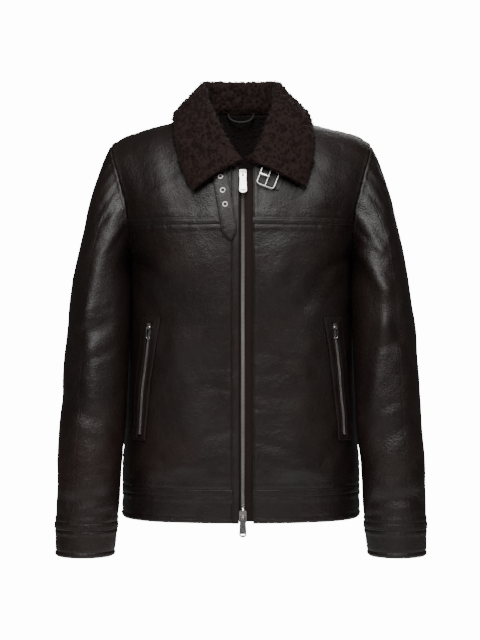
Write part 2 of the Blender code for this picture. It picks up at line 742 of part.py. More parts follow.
def sleeve(turn, run, side, lift=0.0):
    """Points and outward normals of a sleeve, in the body's frame."""
    turn, run = np.broadcast_arrays(np.asarray(turn, float), np.asarray(run, float))
    points = sleeve_bare(turn, run)
    around = sleeve_bare(turn + 0.4, run) - sleeve_bare(turn - 0.4, run)
    down = sleeve_bare(turn, run + 0.004) - sleeve_bare(turn, np.maximum(run - 0.004, 0))
    normals = unit(np.cross(around, down))
    fade = soft_step(run / 0.35)
    place = ((turn + 180) % 360 - 180) * DEGREE_OF_SLEEVE
    folds = dict(SLEEVE_FOLDS[side])
    folds["turn0"] = folds["turn0"] * DEGREE_OF_SLEEVE
    folds["turn1"] = folds["turn1"] * DEGREE_OF_SLEEVE
    ridge = fold_height(place, points[..., 2], folds) * fade
    points = clear_of_body(points + normals * (ridge + lift)[..., None], fade)
    mirror = np.array([SIDES[side], 1.0, 1.0])
    return points * mirror, normals * mirror


def sleeve_turns():
    """Turns of each half's lines, which meet the corners of the body's armhole edge."""
    front = np.concatenate([yoke_turns(True), lower_turns(True)[1:]])
    back = np.concatenate([yoke_turns(False), lower_turns(False)[1:]])
    top = np.concatenate([-back[YOKE_STEPS:0:-1], front[: FRONT_SEAM_STEP + 1]])
    under = np.concatenate([front[FRONT_SEAM_STEP:], 360 - back[-2 : YOKE_STEPS - 1 : -1]])
    return {"top": top, "under": under}


def make_sleeves():
    run = np.concatenate([np.linspace(0, 1, 7) ** 1.15, np.linspace(1, 2, 14)[1:]])
    for side, sign in SIDES.items():
        for half, turn in sleeve_turns().items():
            turn = turn[:, None].copy()
            turn[0] += SLEEVE_SEAM_HALF
            turn[-1] -= SLEEVE_SEAM_HALF
            outer, normals = sleeve(turn, run, side)
            _, body_normals = sleeve_start(turn[:, 0])
            ahead, _ = sleeve_start(turn[:, 0] + 0.5)
            behind, _ = sleeve_start(turn[:, 0] - 0.5)
            mirror = np.array([sign, 1.0, 1.0])
            outward = unit(np.cross(body_normals, ahead - behind)) * mirror
            into = normals[:, 0]
            back_in = np.clip((into * outward).sum(axis=-1, keepdims=True), 0, None)
            normals[:, 0] = unit(into - back_in * outward)
            slab(f"sleeve_{half}_{side}", outer, outer - normals * WALL, "leather")


def make_cuffs():
    halves = sleeve_turns()
    turn = np.concatenate([halves["top"], halves["under"][1:-1]])[:, None]
    for side in SIDES:
        heights = np.linspace(CUFF_SEAM_Z - SEAM_GAP, CUFF_Z, 3)
        outer = sleeve_section(turn, heights)
        flat = outer - sleeve_section(np.zeros((1, 1)) + turn + 180, heights)
        normals = unit(flat * np.array([1.0, 1.0, 0.0]))
        mirror = np.array([SIDES[side], 1.0, 1.0])
        outer, normals = outer * mirror, normals * mirror
        slab(f"cuff_{side}", outer, outer - normals * WALL, "leather", ring=True)
        high = np.array([CUFF_SEAM_Z - STRIP_HIGH / 2, CUFF_SEAM_Z + STRIP_HIGH / 2])
        run = 1 + (high - SLEEVE["height"][0]) / (CUFF_SEAM_Z - SLEEVE["height"][0])
        outer, normals = sleeve(turn, run, side, STRIP_LIFT + STRIP_THICK + 0.0002)
        slab(f"cuff_strip_{side}", outer, outer - normals * STRIP_THICK, "leather", ring=True)


# ---- collar ----


def collar_lift(x):
    """Room under the fall for the strap and the buckle, less towards its point."""
    return 0.0045 + 0.0045 * (1 - soft_step((np.abs(x) - 0.072) / 0.030))


def collar_station(turn, side):
    """Seam, roll and fall's edge of the collar at one place round the neck."""
    sign = SIDES[side]
    if turn <= 90:
        x = NECK_SIDE_X * math.sin(math.radians(turn))
        place, normal = torso(x, back_neckline(x), False)
    else:
        x, z = front_neckline(2 - turn / 90.0, side)
        place, normal = torso(x, z, True)
    seam = place.copy()
    columns = (f"{side}_x", "y", "z")
    roll = np.array([float(smooth(turn, ROLL["turn"], ROLL[column])) for column in columns])
    seam += COLLAR_SEAT * unit(roll - place)
    fall = FALL[side]
    x = float(smooth(turn, fall["turn"], fall["x"]))
    z = min(float(smooth(turn, fall["turn"], fall["z"])), float(ridge_z(x)))
    over_shoulder = math.exp(-(((turn - 88) / 20) ** 2))
    lift = collar_lift(x) * (1 - 0.15 * over_shoulder)
    edge, _ = torso(x, z, turn > 88, lift)
    mirror = np.array([sign, 1.0, 1.0])
    return seam * mirror, roll * mirror, edge * mirror, normal * mirror


def collar_path(seam, roll, edge, out, radius):
    """Leather side of the collar: up the stand, round the roll, down the fall."""
    fall_way = unit(edge - roll)
    stand_way = unit(roll - seam)
    apart = unit(fall_way - (fall_way @ stand_way) * stand_way)
    centre = roll
    stand_top = centre - apart * radius
    points = [seam + (stand_top - seam) * share for share in (0.0, 0.45, 1.0)]
    for degrees in (35.0, 75.0, 115.0, 150.0):
        turn = math.radians(degrees)
        swing = -apart * math.cos(turn) + stand_way * math.sin(turn)
        points.append(centre + swing * radius)
    start = centre + (apart * 0.94 - stand_way * 0.2) * radius
    bulge = (start + edge) / 2 + out * np.linalg.norm(edge - start)
    for share in (0.14, 0.32, 0.52, 0.72, 0.88, 1.0):
        points.append(start * (1 - share) ** 2 + bulge * 2 * share * (1 - share) + edge * share**2)
    return np.array(points)


def make_collar():
    turns = np.concatenate([np.linspace(0, 90, 6), np.linspace(90, 180, 7)[1:]])
    rows, shares = [], []
    for side in ("right", "left"):
        for turn in turns[::-1] if side == "right" else turns[1:]:
            seam, roll, edge, _ = collar_station(turn, side)
            share = soft_step((turn - 40) / 90)
            up_and_back = np.array([0.25 * SIDES[side] * math.sin(math.radians(turn)), 0.75, 0.45])
            forward = np.array([0.30 * SIDES[side], -0.85, 0.25])
            out = unit(up_and_back * (1 - share) + forward * share)
            round_out = 0.16 - 0.10 * math.exp(-(((turn - 80) / 22) ** 2))
            left_over = 1 - (1 - COLLAR_END) * float(soft_step((turn - 140) / 40))
            radius = COLLAR_ROLL * left_over
            rows.append(collar_path(seam, roll, edge, out * round_out, radius))
            shares.append(left_over)
    leather = np.array(rows)
    along = np.gradient(leather, axis=0)
    over = np.gradient(leather, axis=1)
    normals = unit(np.cross(along, over))
    if normals[len(rows) // 2, -1, 1] < 0:
        normals = -normals
    thick = np.full(leather.shape[1], COLLAR_THICK)
    thick[-1] = COLLAR_THICK * 0.62
    thick[0] = COLLAR_THICK * 0.32
    thick[1] = COLLAR_THICK * 0.8
    wool = leather + normals * (np.array(shares)[:, None] * thick)[..., None]
    slab("collar", wool, leather, "wool")


# ---- throat strap and buckle ----


def local_frame(x, z, lift, lean=0.0):
    """Matrix at a place on the front: local x across, local y inwards, local z up the surface.

    lean turns it about the outward direction, clockwise as seen from the front."""
    point, normal = torso(np.array(x), np.array(z), True, lift)
    inward = -Vector(normal)
    up = Vector((math.sin(lean), 0.0, math.cos(lean)))
    across = inward.cross(up).normalized()
    up = across.cross(inward)
    matrix = Matrix((across, inward, up)).transposed().to_4x4()
    matrix.translation = Vector(point)
    return matrix


def make_strap():
    rows = np.array([0.0, 0.2, 0.4, 0.6, 0.8, 0.87, 0.93, 0.97, 1.0])
    half = STRAP_WIDE / 2 * np.array([1.0, 1.0, 1.0, 1.0, 1.0, 0.95, 0.68, 0.36, 0.10])
    share = np.linspace(-1, 1, 5)[:, None]
    lean = (STRAP_TIP[0] - STRAP_TOP[0]) / (STRAP_TIP[1] - STRAP_TOP[1])
    x = STRAP_TOP[0] + (STRAP_TIP[0] - STRAP_TOP[0]) * rows + share * half
    z = STRAP_TOP[1] + (STRAP_TIP[1] - STRAP_TOP[1]) * rows - lean * share * half
    lift = STRAP_LIFT + STRAP_THICK
    strap = panel("throat_strap", x, z, True, "leather", STRAP_THICK, lift)
    for number, height in enumerate(EYELETS_Z, 1):
        along = (height - STRAP_TOP[1]) / (STRAP_TIP[1] - STRAP_TOP[1])
        centre = STRAP_TOP[0] + (STRAP_TIP[0] - STRAP_TOP[0]) * along
        place = local_frame(centre, height, lift)
        cut_hole(strap, place, EYELET_HOLE + 0.0009)
        make_eyelet(f"eyelet_{number}", place)


def cut_hole(target, place, radius, long=0.012):
    """Boolean of a round pin that stands along the local y axis."""
    mesh = bpy.data.meshes.new("hole_cutter")
    shape = bmesh.new()
    bmesh.ops.create_cone(
        shape, cap_ends=True, segments=14, radius1=radius, radius2=radius, depth=long,
        matrix=Matrix.Rotation(math.pi / 2, 4, "X"),
    )
    shape.to_mesh(mesh)
    shape.free()
    cutter = bpy.data.objects.new("hole_cutter", mesh)
    cutter.matrix_world = place
    cutter.hide_render = True
    cutter.display_type = "WIRE"
    bpy.context.scene.collection.objects.link(cutter)
    cut = target.modifiers.new("hole", "BOOLEAN")
    cut.operation = "DIFFERENCE"
    cut.object = cutter
    return cutter


def turned(name, profile, kind, matrix, segments=12):
    """Ring turned about the local y axis from a closed outline of (radius, y)."""
    around = np.linspace(0, 2 * math.pi, segments, endpoint=False)
    outline = np.array(profile)
    radius, depth = outline[:, 0], outline[:, 1]
    x = np.cos(around)[:, None] * radius
    z = np.sin(around)[:, None] * radius
    points = np.stack([x, np.broadcast_to(depth, x.shape), z], axis=-1)
    return wrapped_body(name, points, kind, matrix)


def wrapped_body(name, points, kind, matrix=None):
    """Closed body from a grid that joins up in both directions, such as a ring of wire."""
    rows, columns = points.shape[:2]
    number = np.arange(rows * columns).reshape(rows, columns)
    right = np.roll(number, -1, axis=0)
    corners = [number, right, np.roll(right, -1, axis=1), np.roll(number, -1, axis=1)]
    faces = np.stack(corners, axis=-1).reshape(-1, 4)
    flat = points.reshape(-1, 3)
    a, b, c, d = (flat[faces[:, i]] for i in range(4))
    volume = (a * np.cross(b, c)).sum() + (a * np.cross(c, d)).sum()
    if volume < 0:
        faces = faces[:, ::-1]
    return add_object(name, flat, faces.tolist(), kind, matrix)


def make_eyelet(name, place):
    tube = EYELET_HOLE + 0.0006
    profile = (
        (EYELET_HOLE, STRAP_THICK),
        (EYELET_HOLE, -0.0006),
        (EYELET_HOLE + 0.0008, -0.0013),
        (EYELET_RADIUS - 0.0008, -0.0011),
        (EYELET_RADIUS, -0.0003),
        (tube, -0.0003),
        (tube, STRAP_THICK),
    )
    turned(name, profile, "nickel", place)


def wire_ring(name, path, radius, sides, kind, matrix=None):
    """Round wire along a closed path, in the path's own plane (local x and z)."""
    ahead = np.roll(path, -1, axis=0) - np.roll(path, 1, axis=0)
    outward = unit(np.stack([-ahead[:, 2], np.zeros(len(path)), ahead[:, 0]], axis=-1))
    around = np.linspace(0, 2 * math.pi, sides, endpoint=False)
    lift = np.array([0.0, 1.0, 0.0])
    ring = (
        path[:, None]
        + outward[:, None] * np.cos(around)[:, None] * radius
        + lift * np.sin(around)[:, None] * radius
    )
    return wrapped_body(name, ring, kind, matrix)


def rounded_outline(half_x, half_z, radius, corner_points=4):
    """Rectangle with round corners, as points in the local x-z plane, anticlockwise."""
    points = []
    corners = ((1, 1, 0), (-1, 1, 90), (-1, -1, 180), (1, -1, 270))
    for sign_x, sign_z, first in corners:
        for step in range(corner_points):
            turn = math.radians(first + 90 * step / (corner_points - 1))
            x = sign_x * (half_x - radius) + radius * math.cos(turn)
            z = sign_z * (half_z - radius) + radius * math.sin(turn)
            points.append((x, 0.0, z))
    return np.array(points)


def extruded(name, outline, half, axis, kind, matrix=None):
    """Closed body from an outline of local (x, z) or (y, z) points, given thickness each way."""
    flat = np.array(outline)
    count = len(flat)
    if axis == "x":
        low = np.stack([np.full(count, -half), flat[:, 0], flat[:, 1]], axis=-1)
    else:
        low = np.stack([flat[:, 0], np.full(count, -half), flat[:, 1]], axis=-1)
    high = low.copy()
    high[:, 0 if axis == "x" else 1] = half
    nxt = np.roll(flat, -1, axis=0)
    area = (flat[:, 0] * nxt[:, 1] - nxt[:, 0] * flat[:, 1]).sum()
    number = list(range(count))
    faces = [number[::-1], [i + count for i in number]]
    faces += [[i, (i + 1) % count, (i + 1) % count + count, i + count] for i in number]
    if (area < 0) == (axis == "x"):
        faces = [face[::-1] for face in faces]
    return add_object(name, np.concatenate([low, high]), faces, kind, matrix)


def unite(target, other):
    """Adds another body to the target by a union, and keeps the other as a hidden guide."""
    other.hide_render = True
    other.display_type = "WIRE"
    union = target.modifiers.new("join", "BOOLEAN")
    union.operation = "UNION"
    union.object = other
    return target


def rod(name, radius, half, kind, matrix, sides=10, axis="X"):
    mesh = bpy.data.meshes.new(name)
    shape = bmesh.new()
    turn = Matrix.Rotation(math.pi / 2, 4, "Y") if axis == "X" else Matrix.Identity(4)
    bmesh.ops.create_cone(
        shape, cap_ends=True, segments=sides, radius1=radius, radius2=radius, depth=2 * half,
        matrix=turn,
    )
    shape.to_mesh(mesh)
    shape.free()
    mesh.shade_smooth()
    mesh.set_sharp_from_angle(angle=math.radians(40))
    obj = bpy.data.objects.new(name, mesh)
    obj.data.materials.append(own_material(name, kind))
    obj.matrix_world = matrix
    bpy.context.scene.collection.objects.link(obj)
    return obj


def make_buckle():
    """Frame, prong and leather tab: local x runs along the tab, away from the zip."""
    slope = Matrix.Rotation(-BUCKLE_SLOPE, 4, "Y")
    seat = local_frame(*BUCKLE_CENTRE, 0.0) @ slope
    frame_y = -(0.0012 + STRIP_LIFT + TAB_THICK + 0.0004 + BUCKLE_WIRE)
    place = seat @ Matrix.Translation((0, frame_y, 0))
    half_x, half_z = BUCKLE_LONG / 2 - BUCKLE_WIRE, BUCKLE_WIDE / 2 - BUCKLE_WIRE
    outline = rounded_outline(half_x, half_z, 0.0048)
    frame = wire_ring("buckle_frame", outline, BUCKLE_WIRE, 8, "polished", place)
    bar = rod("bar_guide", 0.0012, half_z, "polished", place, axis="Z")
    unite(frame, bar)
    reach = half_x + 0.0006
    hook_out, hook_in = PRONG_EYE + PRONG_THICK, PRONG_EYE
    rest_y = -(BUCKLE_WIRE + 0.0004)
    outline = [(-reach, rest_y), (-reach, rest_y - PRONG_THICK), (-hook_out, rest_y - 0.0016)]
    for degrees in range(200, 461, 37):
        turn = math.radians(degrees)
        outline.append((hook_out * math.cos(turn), hook_out * math.sin(turn)))
    inner = []
    for degrees in range(225, 451, 37):
        turn = math.radians(degrees)
        inner.append((hook_in * math.cos(turn), hook_in * math.sin(turn)))
    outline += inner[::-1] + [(-hook_out, rest_y)]
    make_prong(outline, place)
    make_tab()


def make_prong(outline, place):
    """The prong's side view is in local (x, y), so it is extruded across the buckle."""
    flat = np.array(outline)
    half = PRONG_THICK
    low = np.stack([flat[:, 0], flat[:, 1], np.full(len(flat), -half)], axis=-1)
    high = low + np.array([0.0, 0.0, 2 * half])
    count = len(flat)
    nxt = np.roll(flat, -1, axis=0)
    area = (flat[:, 0] * nxt[:, 1] - nxt[:, 0] * flat[:, 1]).sum()
    number = list(range(count))
    faces = [number[::-1], [i + count for i in number]]
    faces += [[i, (i + 1) % count, (i + 1) % count + count, i + count] for i in number]
    if area < 0:
        faces = [face[::-1] for face in faces]
    add_object("buckle_prong", np.concatenate([low, high]), faces, "polished", place)


def make_tab():
    """Leather tab on the panel's surface under the frame, running out under the collar."""
    share_x, share_z = grid(9, 5)
    local_x = -BUCKLE_LONG / 2 + TAB_INSET + share_x * TAB_LONG
    local_z = (share_z - 0.5) * TAB_WIDE * np.where(share_x < 0.01, 0.86, 1.0)
    x = BUCKLE_CENTRE[0] + local_x * math.cos(BUCKLE_SLOPE) - local_z * math.sin(BUCKLE_SLOPE)
    z = BUCKLE_CENTRE[1] + local_x * math.sin(BUCKLE_SLOPE) + local_z * math.cos(BUCKLE_SLOPE)
    panel("buckle_tab", x, z, True, "leather", TAB_THICK, STRIP_LIFT + TAB_THICK)


# ---- zips ----


def strip_along(name, line, half, thick, lift, kind, rows=20):
    """Flat strip down the front: line gives its ends as (x, z)."""
    share = np.linspace(0, 1, rows)
    (x0, z0), (x1, z1) = line
    side = np.array([-half, half])[:, None]
    x = x0 + (x1 - x0) * share + side
    z = np.broadcast_to(z0 + (z1 - z0) * share, x.shape)
    return panel(name, x, z, True, kind, thick, lift)


def make_slider(name, place, half_wide, up, down, kind, deep=0.0046):
    """Slider body with a staple in front of it, which holds the pull's pin at the local origin."""
    front = 0.0014
    body = extruded(
        name,
        chamfered(half_wide, down, up),
        deep / 2,
        "y",
        kind,
        place,
    )
    body.data.transform(Matrix.Translation((0, front + deep / 2, 0)))
    staple = (
        (front + 0.001, 0.0042), (-0.0008, 0.0042), (-0.0022, 0.0030),
        (-0.0022, -0.0018), (-0.0010, -0.0028), (front + 0.001, -0.0028),
        (front + 0.001, -0.0014), (-0.0002, -0.0014), (-0.0011, -0.0008),
        (-0.0011, 0.0012), (-0.0002, 0.0020), (front + 0.001, 0.0020),
    )
    unite(body, extruded(name + "_guide", staple, 0.0010, "x", kind, place))
    return body


def chamfered(half, low, high, cut=0.0016):
    return (
        (-half + cut, low), (half - cut, low), (half, low + cut), (half, high - cut),
        (half - cut, high), (-half + cut, high), (-half, high - cut), (-half, low + cut),
    )


def make_main_pull(name, place):
    """Forked plate that hangs from a pin in the staple, with a slot near its foot."""
    thick = 0.0014
    outline = [(-0.0046, 0.0012), (-0.0016, 0.0012), (-0.0016, -0.0050), (0.0016, -0.0050)]
    outline += [(0.0016, 0.0012), (0.0046, 0.0012), (0.0062, -0.0287)]
    for degrees in range(0, 181, 30):
        turn = math.radians(degrees)
        outline.append((0.0060 * math.cos(turn), -0.0290 - 0.0038 * math.sin(turn)))
    outline.append((-0.0062, -0.0287))
    pull = extruded(name, outline, thick / 2, "y", "polished", place)
    unite(pull, rod(name + "_guide", 0.0007, 0.0022, "polished", place, 8))
    slot = [(-0.0036, -0.0293), (0.0036, -0.0293), (0.0036, -0.0275), (-0.0036, -0.0275)]
    cutter = extruded(name + "_cutter", slot, 0.003, "y", "polished", place)
    cutter.hide_render = True
    cutter.display_type = "WIRE"
    cut = pull.modifiers.new("slot", "BOOLEAN")
    cut.operation = "DIFFERENCE"
    cut.object = cutter


def make_centre_zip():
    strip_along(
        "zip_chain", ((ZIP_X, CHAIN_TOP_Z), (ZIP_X, CHAIN_FOOT_Z)), CHAIN_HALF,
        CHAIN_THICK, CHAIN_LIFT, "nickel",
    )
    for side, low, high in (("right", -0.020, ZIP_X - 0.0004), ("left", ZIP_X + 0.0004, 0.030)):
        middle, half = (low + high) / 2, (high - low) / 2
        line = ((middle, NECK_FRONT_Z - 0.004), (middle, HEM_Z + 0.003))
        strip_along(f"zip_tape_{side}", line, half, TAPE_THICK, TAPE_LIFT, "tape")
    for where, height, up, down in (
        ("top", TOP_PIVOT_Z, 0.0085, -0.0065),
        ("bottom", FOOT_PIVOT_Z, 0.0110, -0.0095),
    ):
        place = local_frame(ZIP_X, height, PIVOT_LIFT)
        make_slider(f"zip_slider_{where}", place, 0.0060, up, down, "nickel")
        make_main_pull(f"zip_pull_{where}", place)


def pocket_line(side, share):
    shift = POCKET_SHIFT[side]
    x = POCKET_TOP[0] + (POCKET_FOOT[0] - POCKET_TOP[0]) * share
    bow = 0.0022 * np.sin(np.pi * share)
    return SIDES[side] * (x + shift + bow), POCKET_TOP[1] + (POCKET_FOOT[1] - POCKET_TOP[1]) * share


def make_pocket(side):
    """Welt frame round a slot, with the zip's chain in the slot and its slider near the top."""
    down = np.linspace(0, 1, 11)
    share = np.concatenate([down, down[::-1]])
    edge = np.concatenate([np.ones(len(down)), -np.ones(len(down))])
    wide = POCKET_TOP_WIDE + (POCKET_FOOT_WIDE - POCKET_TOP_WIDE) * share
    inner_share = 0.045 + share * 0.925
    across = np.linspace(0, 1, 3)[None]
    middle_out, z_out = pocket_line(side, share)
    middle_in, z_in = pocket_line(side, inner_share)
    x_out = middle_out + SIDES[side] * edge * wide / 2
    x_in = middle_in + SIDES[side] * edge * POCKET_SLOT / 2
    x = x_in[:, None] + (x_out - x_in)[:, None] * across
    z = z_in[:, None] + (z_out - z_in)[:, None] * across
    lift = POCKET_LIFT + STRIP_THICK
    panel(f"pocket_welt_{side}", x, z, True, "leather", STRIP_THICK, lift, ring=True)
    run = np.linspace(0.060, 0.955, 10)
    middle, z = pocket_line(side, run)
    x = middle + np.array([-1, 1])[:, None] * (POCKET_SLOT / 2 - 0.0006)
    z = np.broadcast_to(z, x.shape)
    chain_top = POCKET_LIFT + POCKET_CHAIN_THICK
    panel(f"pocket_zip_{side}", x, z, True, "nickel", POCKET_CHAIN_THICK, chain_top)
    lean = math.atan2(POCKET_FOOT[0] - POCKET_TOP[0], POCKET_TOP[1] - POCKET_FOOT[1])
    at = POCKET_SLIDER_DOWN / (POCKET_TOP[1] - POCKET_FOOT[1])
    x, z = pocket_line(side, at)
    place = local_frame(float(x), float(z), chain_top + 0.0034, -SIDES[side] * lean)
    make_slider(f"pocket_slider_{side}", place, 0.0040, 0.0062, -0.0058, "polished", 0.0016)
    path = rounded_outline(0.0036, 0.0100, 0.0028)
    path[:, 2] -= 0.0100 - 0.0001
    wire_ring(f"pocket_pull_{side}", path, 0.0008, 6, "polished", place)


def make_hanger():
    """Loop of leather cord inside the back neck, sewn in at both ends."""
    angle = np.linspace(0, math.pi, 13)
    path = np.stack(
        [
            -0.022 * np.cos(angle),
            np.full(len(angle), HANGER_Y),
            0.0215 - 0.0148 * np.sin(angle) ** 0.8,
        ],
        axis=-1,
    )
    sides = 6
    ahead = np.gradient(path, axis=0)
    inward = np.array([0.0, 1.0, 0.0])
    across = unit(np.cross(ahead, inward))
    around = np.linspace(0, 2 * math.pi, sides, endpoint=False)
    rings = (
        path[:, None]
        + across[:, None] * np.cos(around)[:, None] * 0.0020
        + inward * np.sin(around)[:, None] * 0.0012
    )
    number = np.arange(len(path) * sides).reshape(len(path), sides)
    turned_on = np.roll(number, -1, axis=1)
    corners = [number[:-1], number[1:], turned_on[1:], turned_on[:-1]]
    faces = np.stack(corners, axis=-1).reshape(-1, 4).tolist()
    faces += [number[0].tolist(), number[-1].tolist()[::-1]]
    flat = rings.reshape(-1, 3)
    add_object("hanger_loop", flat, faces, "leather")


def main():
    clear_scene()
    for side in SIDES:
        make_front_lower(side)
        make_front_yoke(side)
        make_pocket(side)
    make_back_lower()
    make_back_yoke()
    make_hem()
    make_yoke_strips()
    make_front_edge()
    make_sleeves()
    make_cuffs()
    make_collar()
    make_strap()
    make_buckle()
    make_centre_zip()
    make_hanger()


main()
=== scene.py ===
"""Leather, wool, zips and stitching of a shearling jacket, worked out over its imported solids.

Every leather panel is the body's or a sleeve's own analytic surface, read on a fine grid and moved
along its normal by the creases, the puckers at its seams and a slow unevenness of the hide.
"""

import math

import bpy
import numpy as np
from mathutils import Matrix, Vector


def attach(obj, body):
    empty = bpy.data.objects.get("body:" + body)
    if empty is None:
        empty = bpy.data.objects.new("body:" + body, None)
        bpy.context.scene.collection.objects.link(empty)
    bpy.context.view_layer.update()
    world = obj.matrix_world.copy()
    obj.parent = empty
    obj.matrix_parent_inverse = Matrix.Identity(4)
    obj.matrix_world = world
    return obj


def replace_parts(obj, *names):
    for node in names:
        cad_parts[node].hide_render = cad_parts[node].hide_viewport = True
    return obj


bl_info = {
    "name": "Shearling leather jacket",
    "version": (1, 0, 0),
    "blender": (4, 5, 0),
    "location": "3D View > Sidebar > Jacket",
    "description": "Panels, collar wool, zips, buckle and sewing of a leather jacket",
    "category": "Add Mesh",
}

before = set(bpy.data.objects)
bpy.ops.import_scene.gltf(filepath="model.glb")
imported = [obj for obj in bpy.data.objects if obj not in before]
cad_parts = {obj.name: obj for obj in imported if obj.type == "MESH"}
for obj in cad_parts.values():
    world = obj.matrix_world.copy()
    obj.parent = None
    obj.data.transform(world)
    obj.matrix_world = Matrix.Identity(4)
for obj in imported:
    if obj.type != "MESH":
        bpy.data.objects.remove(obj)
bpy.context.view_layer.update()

# ---- the cut: sizes and tables that every panel shares, in metres ----

WALL = 0.004  # leather with the fleece sheared short behind it
STRIP_LIFT = 0.0004  # a lapped strip's clearance over its panel
STRIP_THICK = 0.0016
PIT_Z = -0.240
FRONT_YOKE_Z = -0.176
BACK_YOKE_Z = -0.150
HEM_SEAM_Z = -0.6245
HEM_Z = -0.675
SIDE_BLOCK_Z = -0.300  # above this height the panels' rows bend towards the armhole
STRIP_HIGH = 0.0115
RIGHT_FRONT_X = 0.0149
STRIP_EDGE_X = 0.0035
LEFT_FRONT_X = 0.0198
ZIP_X = 0.003
NECK_FRONT_Z = -0.085
NECK_SIDE_X = 0.080
BACK_NECK_Z = 0.020
ROUNDNESS = 2.5  # superellipse exponent of the rings
SIDE_SEAM_Y = 0.015
SHOULDER_X = 0.2225
FRONT_RISE = (1.8, 0.6)
BACK_RISE = (2.4, 0.5)


def table(names, rows):
    """Rows of numbers as one array for each named column."""
    return dict(zip(names.split(), np.array(rows, float).T))


def in_mm(names, rows):
    """Table whose lengths are written in millimetres; columns named turn are in degrees."""
    columns = table(names, rows)
    return {name: columns[name] / (1 if name.startswith("turn") else 1000) for name in columns}


TORSO = in_mm("height half_width front back", (
    (-690, 203.5, 139, 109),
    (-660, 203.7, 140, 110),
    (-625, 202.2, 141, 111),
    (-597, 203.4, 145, 114),
    (-562, 201.5, 146, 113),
    (-511, 197.5, 145, 108),
    (-430, 194, 146, 104),
    (-347, 191.5, 152, 108),
    (-292, 190, 157, 114),
    (-240, 190, 160, 120),
    (-200, 198.5, 160, 122),
    (-165, 209, 160, 122),
    (-112, 226, 160, 120),
    (-60, 239, 160, 120),
    (60, 250, 160, 120),
))
RIDGE = in_mm("across height", (
    (0, 56),
    (50, 42),
    (80, 19),
    (118, 0),
    (161, -12.5),
    (192.5, -22),
    (212, -32),
    (222.5, -41),
    (240, -60),
))
ARMHOLE = table("turn front back", (
    (0, 63, 63),
    (30, 63.6, 63.2),
    (60, 61.6, 60.4),
    (90, 60.7, 58.8),
    (120, 67, 65),
    (150, 78.5, 77.5),
    (180, 90, 90),
))
SLEEVE = in_mm("height centre_x half_width centre_y half_depth", (
    (-292.5, 238.3, 50, -30, 74.5),
    (-347, 241.3, 52.8, -40, 73),
    (-428, 245.2, 55, -52, 69),
    (-507, 248.7, 55.8, -62, 65),
    (-557, 252.4, 54.8, -67, 62),
    (-591, 254.5, 53.8, -70, 60),
    (-645, 256.6, 52.7, -74, 57),
    (-673.5, 258.4, 51.2, -75, 55),
    (-703, 259.3, 50.7, -77, 53),
    (-732, 261, 49, -78, 51.5),
))
CUFF_SEAM_Z = -0.681
CUFF_Z = -0.732
DEGREE_OF_SLEEVE = 0.00105  # metres round a sleeve for one degree
FRONT_FOLDS = in_mm("x0 z0 x1 z1 wide high", (
    (-150, -60, -120, -155, 20, 3),
    (150, -70, 125, -150, 20, 2.6),
    (-165, -250, -120, -300, 18, -3),
    (165, -245, 110, -310, 18, -3.4),
    (-70, -560, -100, -380, 30, 3),
    (80, -570, 100, -400, 30, 3.4),
    (-150, -590, -60, -575, 14, 2.2),
    (60, -580, 150, -592, 14, 2.4),
    (45, -330, 60, -230, 26, 2.2),
))
BACK_FOLDS = in_mm("x0 z0 x1 z1 wide high", (
    (-165, -235, -95, -330, 22, -3.6),
    (165, -240, 85, -345, 22, -3.2),
    (-140, -430, 30, -455, 26, -3.6),
    (150, -470, -10, -500, 24, -3.2),
    (-60, -585, 90, -578, 16, 3),
    (20, -330, 30, -210, 30, 2.2),
))
SLEEVE_FOLDS = {
    "right": in_mm("turn0 z0 turn1 z1 wide high", (
        (95, -170, 75, -330, 16, 4.5),
        (75, -330, 95, -470, 18, 3.5),
        (40, -385, 110, -345, 16, -4.5),
        (20, -470, 100, -500, 18, -3.5),
        (-150, -330, -70, -370, 18, -5),
        (-140, -420, -60, -450, 16, -4),
        (60, -640, 150, -625, 13, -3.2),
        (-60, -560, -140, -590, 16, -3.2),
    )),
    "left": in_mm("turn0 z0 turn1 z1 wide high", (
        (120, -230, 88, -290, 15, 4.8),
        (88, -290, 92, -350, 16, 5),
        (92, -350, 118, -460, 16, 4.2),
        (30, -400, 80, -350, 16, -4),
        (30, -500, 110, -530, 18, -3.5),
        (-150, -340, -75, -365, 18, -5),
        (-135, -440, -60, -455, 16, -4),
        (50, -630, 140, -640, 13, -3.2),
        (-50, -575, -140, -560, 16, -3.2),
    )),
}

# Collar: its fold's middle line and its fall's edge by turn round the neck, 0 at the back
COLLAR_THICK = 0.0085
COLLAR_ROLL = 0.0042  # inside radius of the fold
COLLAR_SEAT = 0.0012
ROLL = in_mm("turn right_x left_x y z", (
    (0, 0, 0, 67, 66),
    (30, 37, 37, 61, 66),
    (60, 64, 64, 40, 63),
    (90, 68, 66, 4, 47),
    (115, 59.5, 62.5, -38, 22.5),
    (140, 43.5, 51, -78, -12),
    (165, 22, 35, -109, -53),
    (180, 4, 16.5, -127, -79),
))
COLLAR_END = 0.62  # share of the wool and the fold's radius left at the front ends
FALL = {
    "right": in_mm("turn x z", (
        (0, 0, -12),
        (30, 40, -12),
        (60, 83, -9),
        (88, 112, 2.5),
        (108, 109, -22),
        (130, 103, -62),
        (155, 92, -100),
        (180, 77.5, -130),
    )),
    "left": in_mm("turn x z", (
        (0, 0, -12),
        (30, 40, -12),
        (60, 83, -9),
        (88, 113, 2),
        (108, 117, -20),
        (130, 117, -56),
        (155, 112.5, -92),
        (180, 103.5, -122.5),
    )),
}

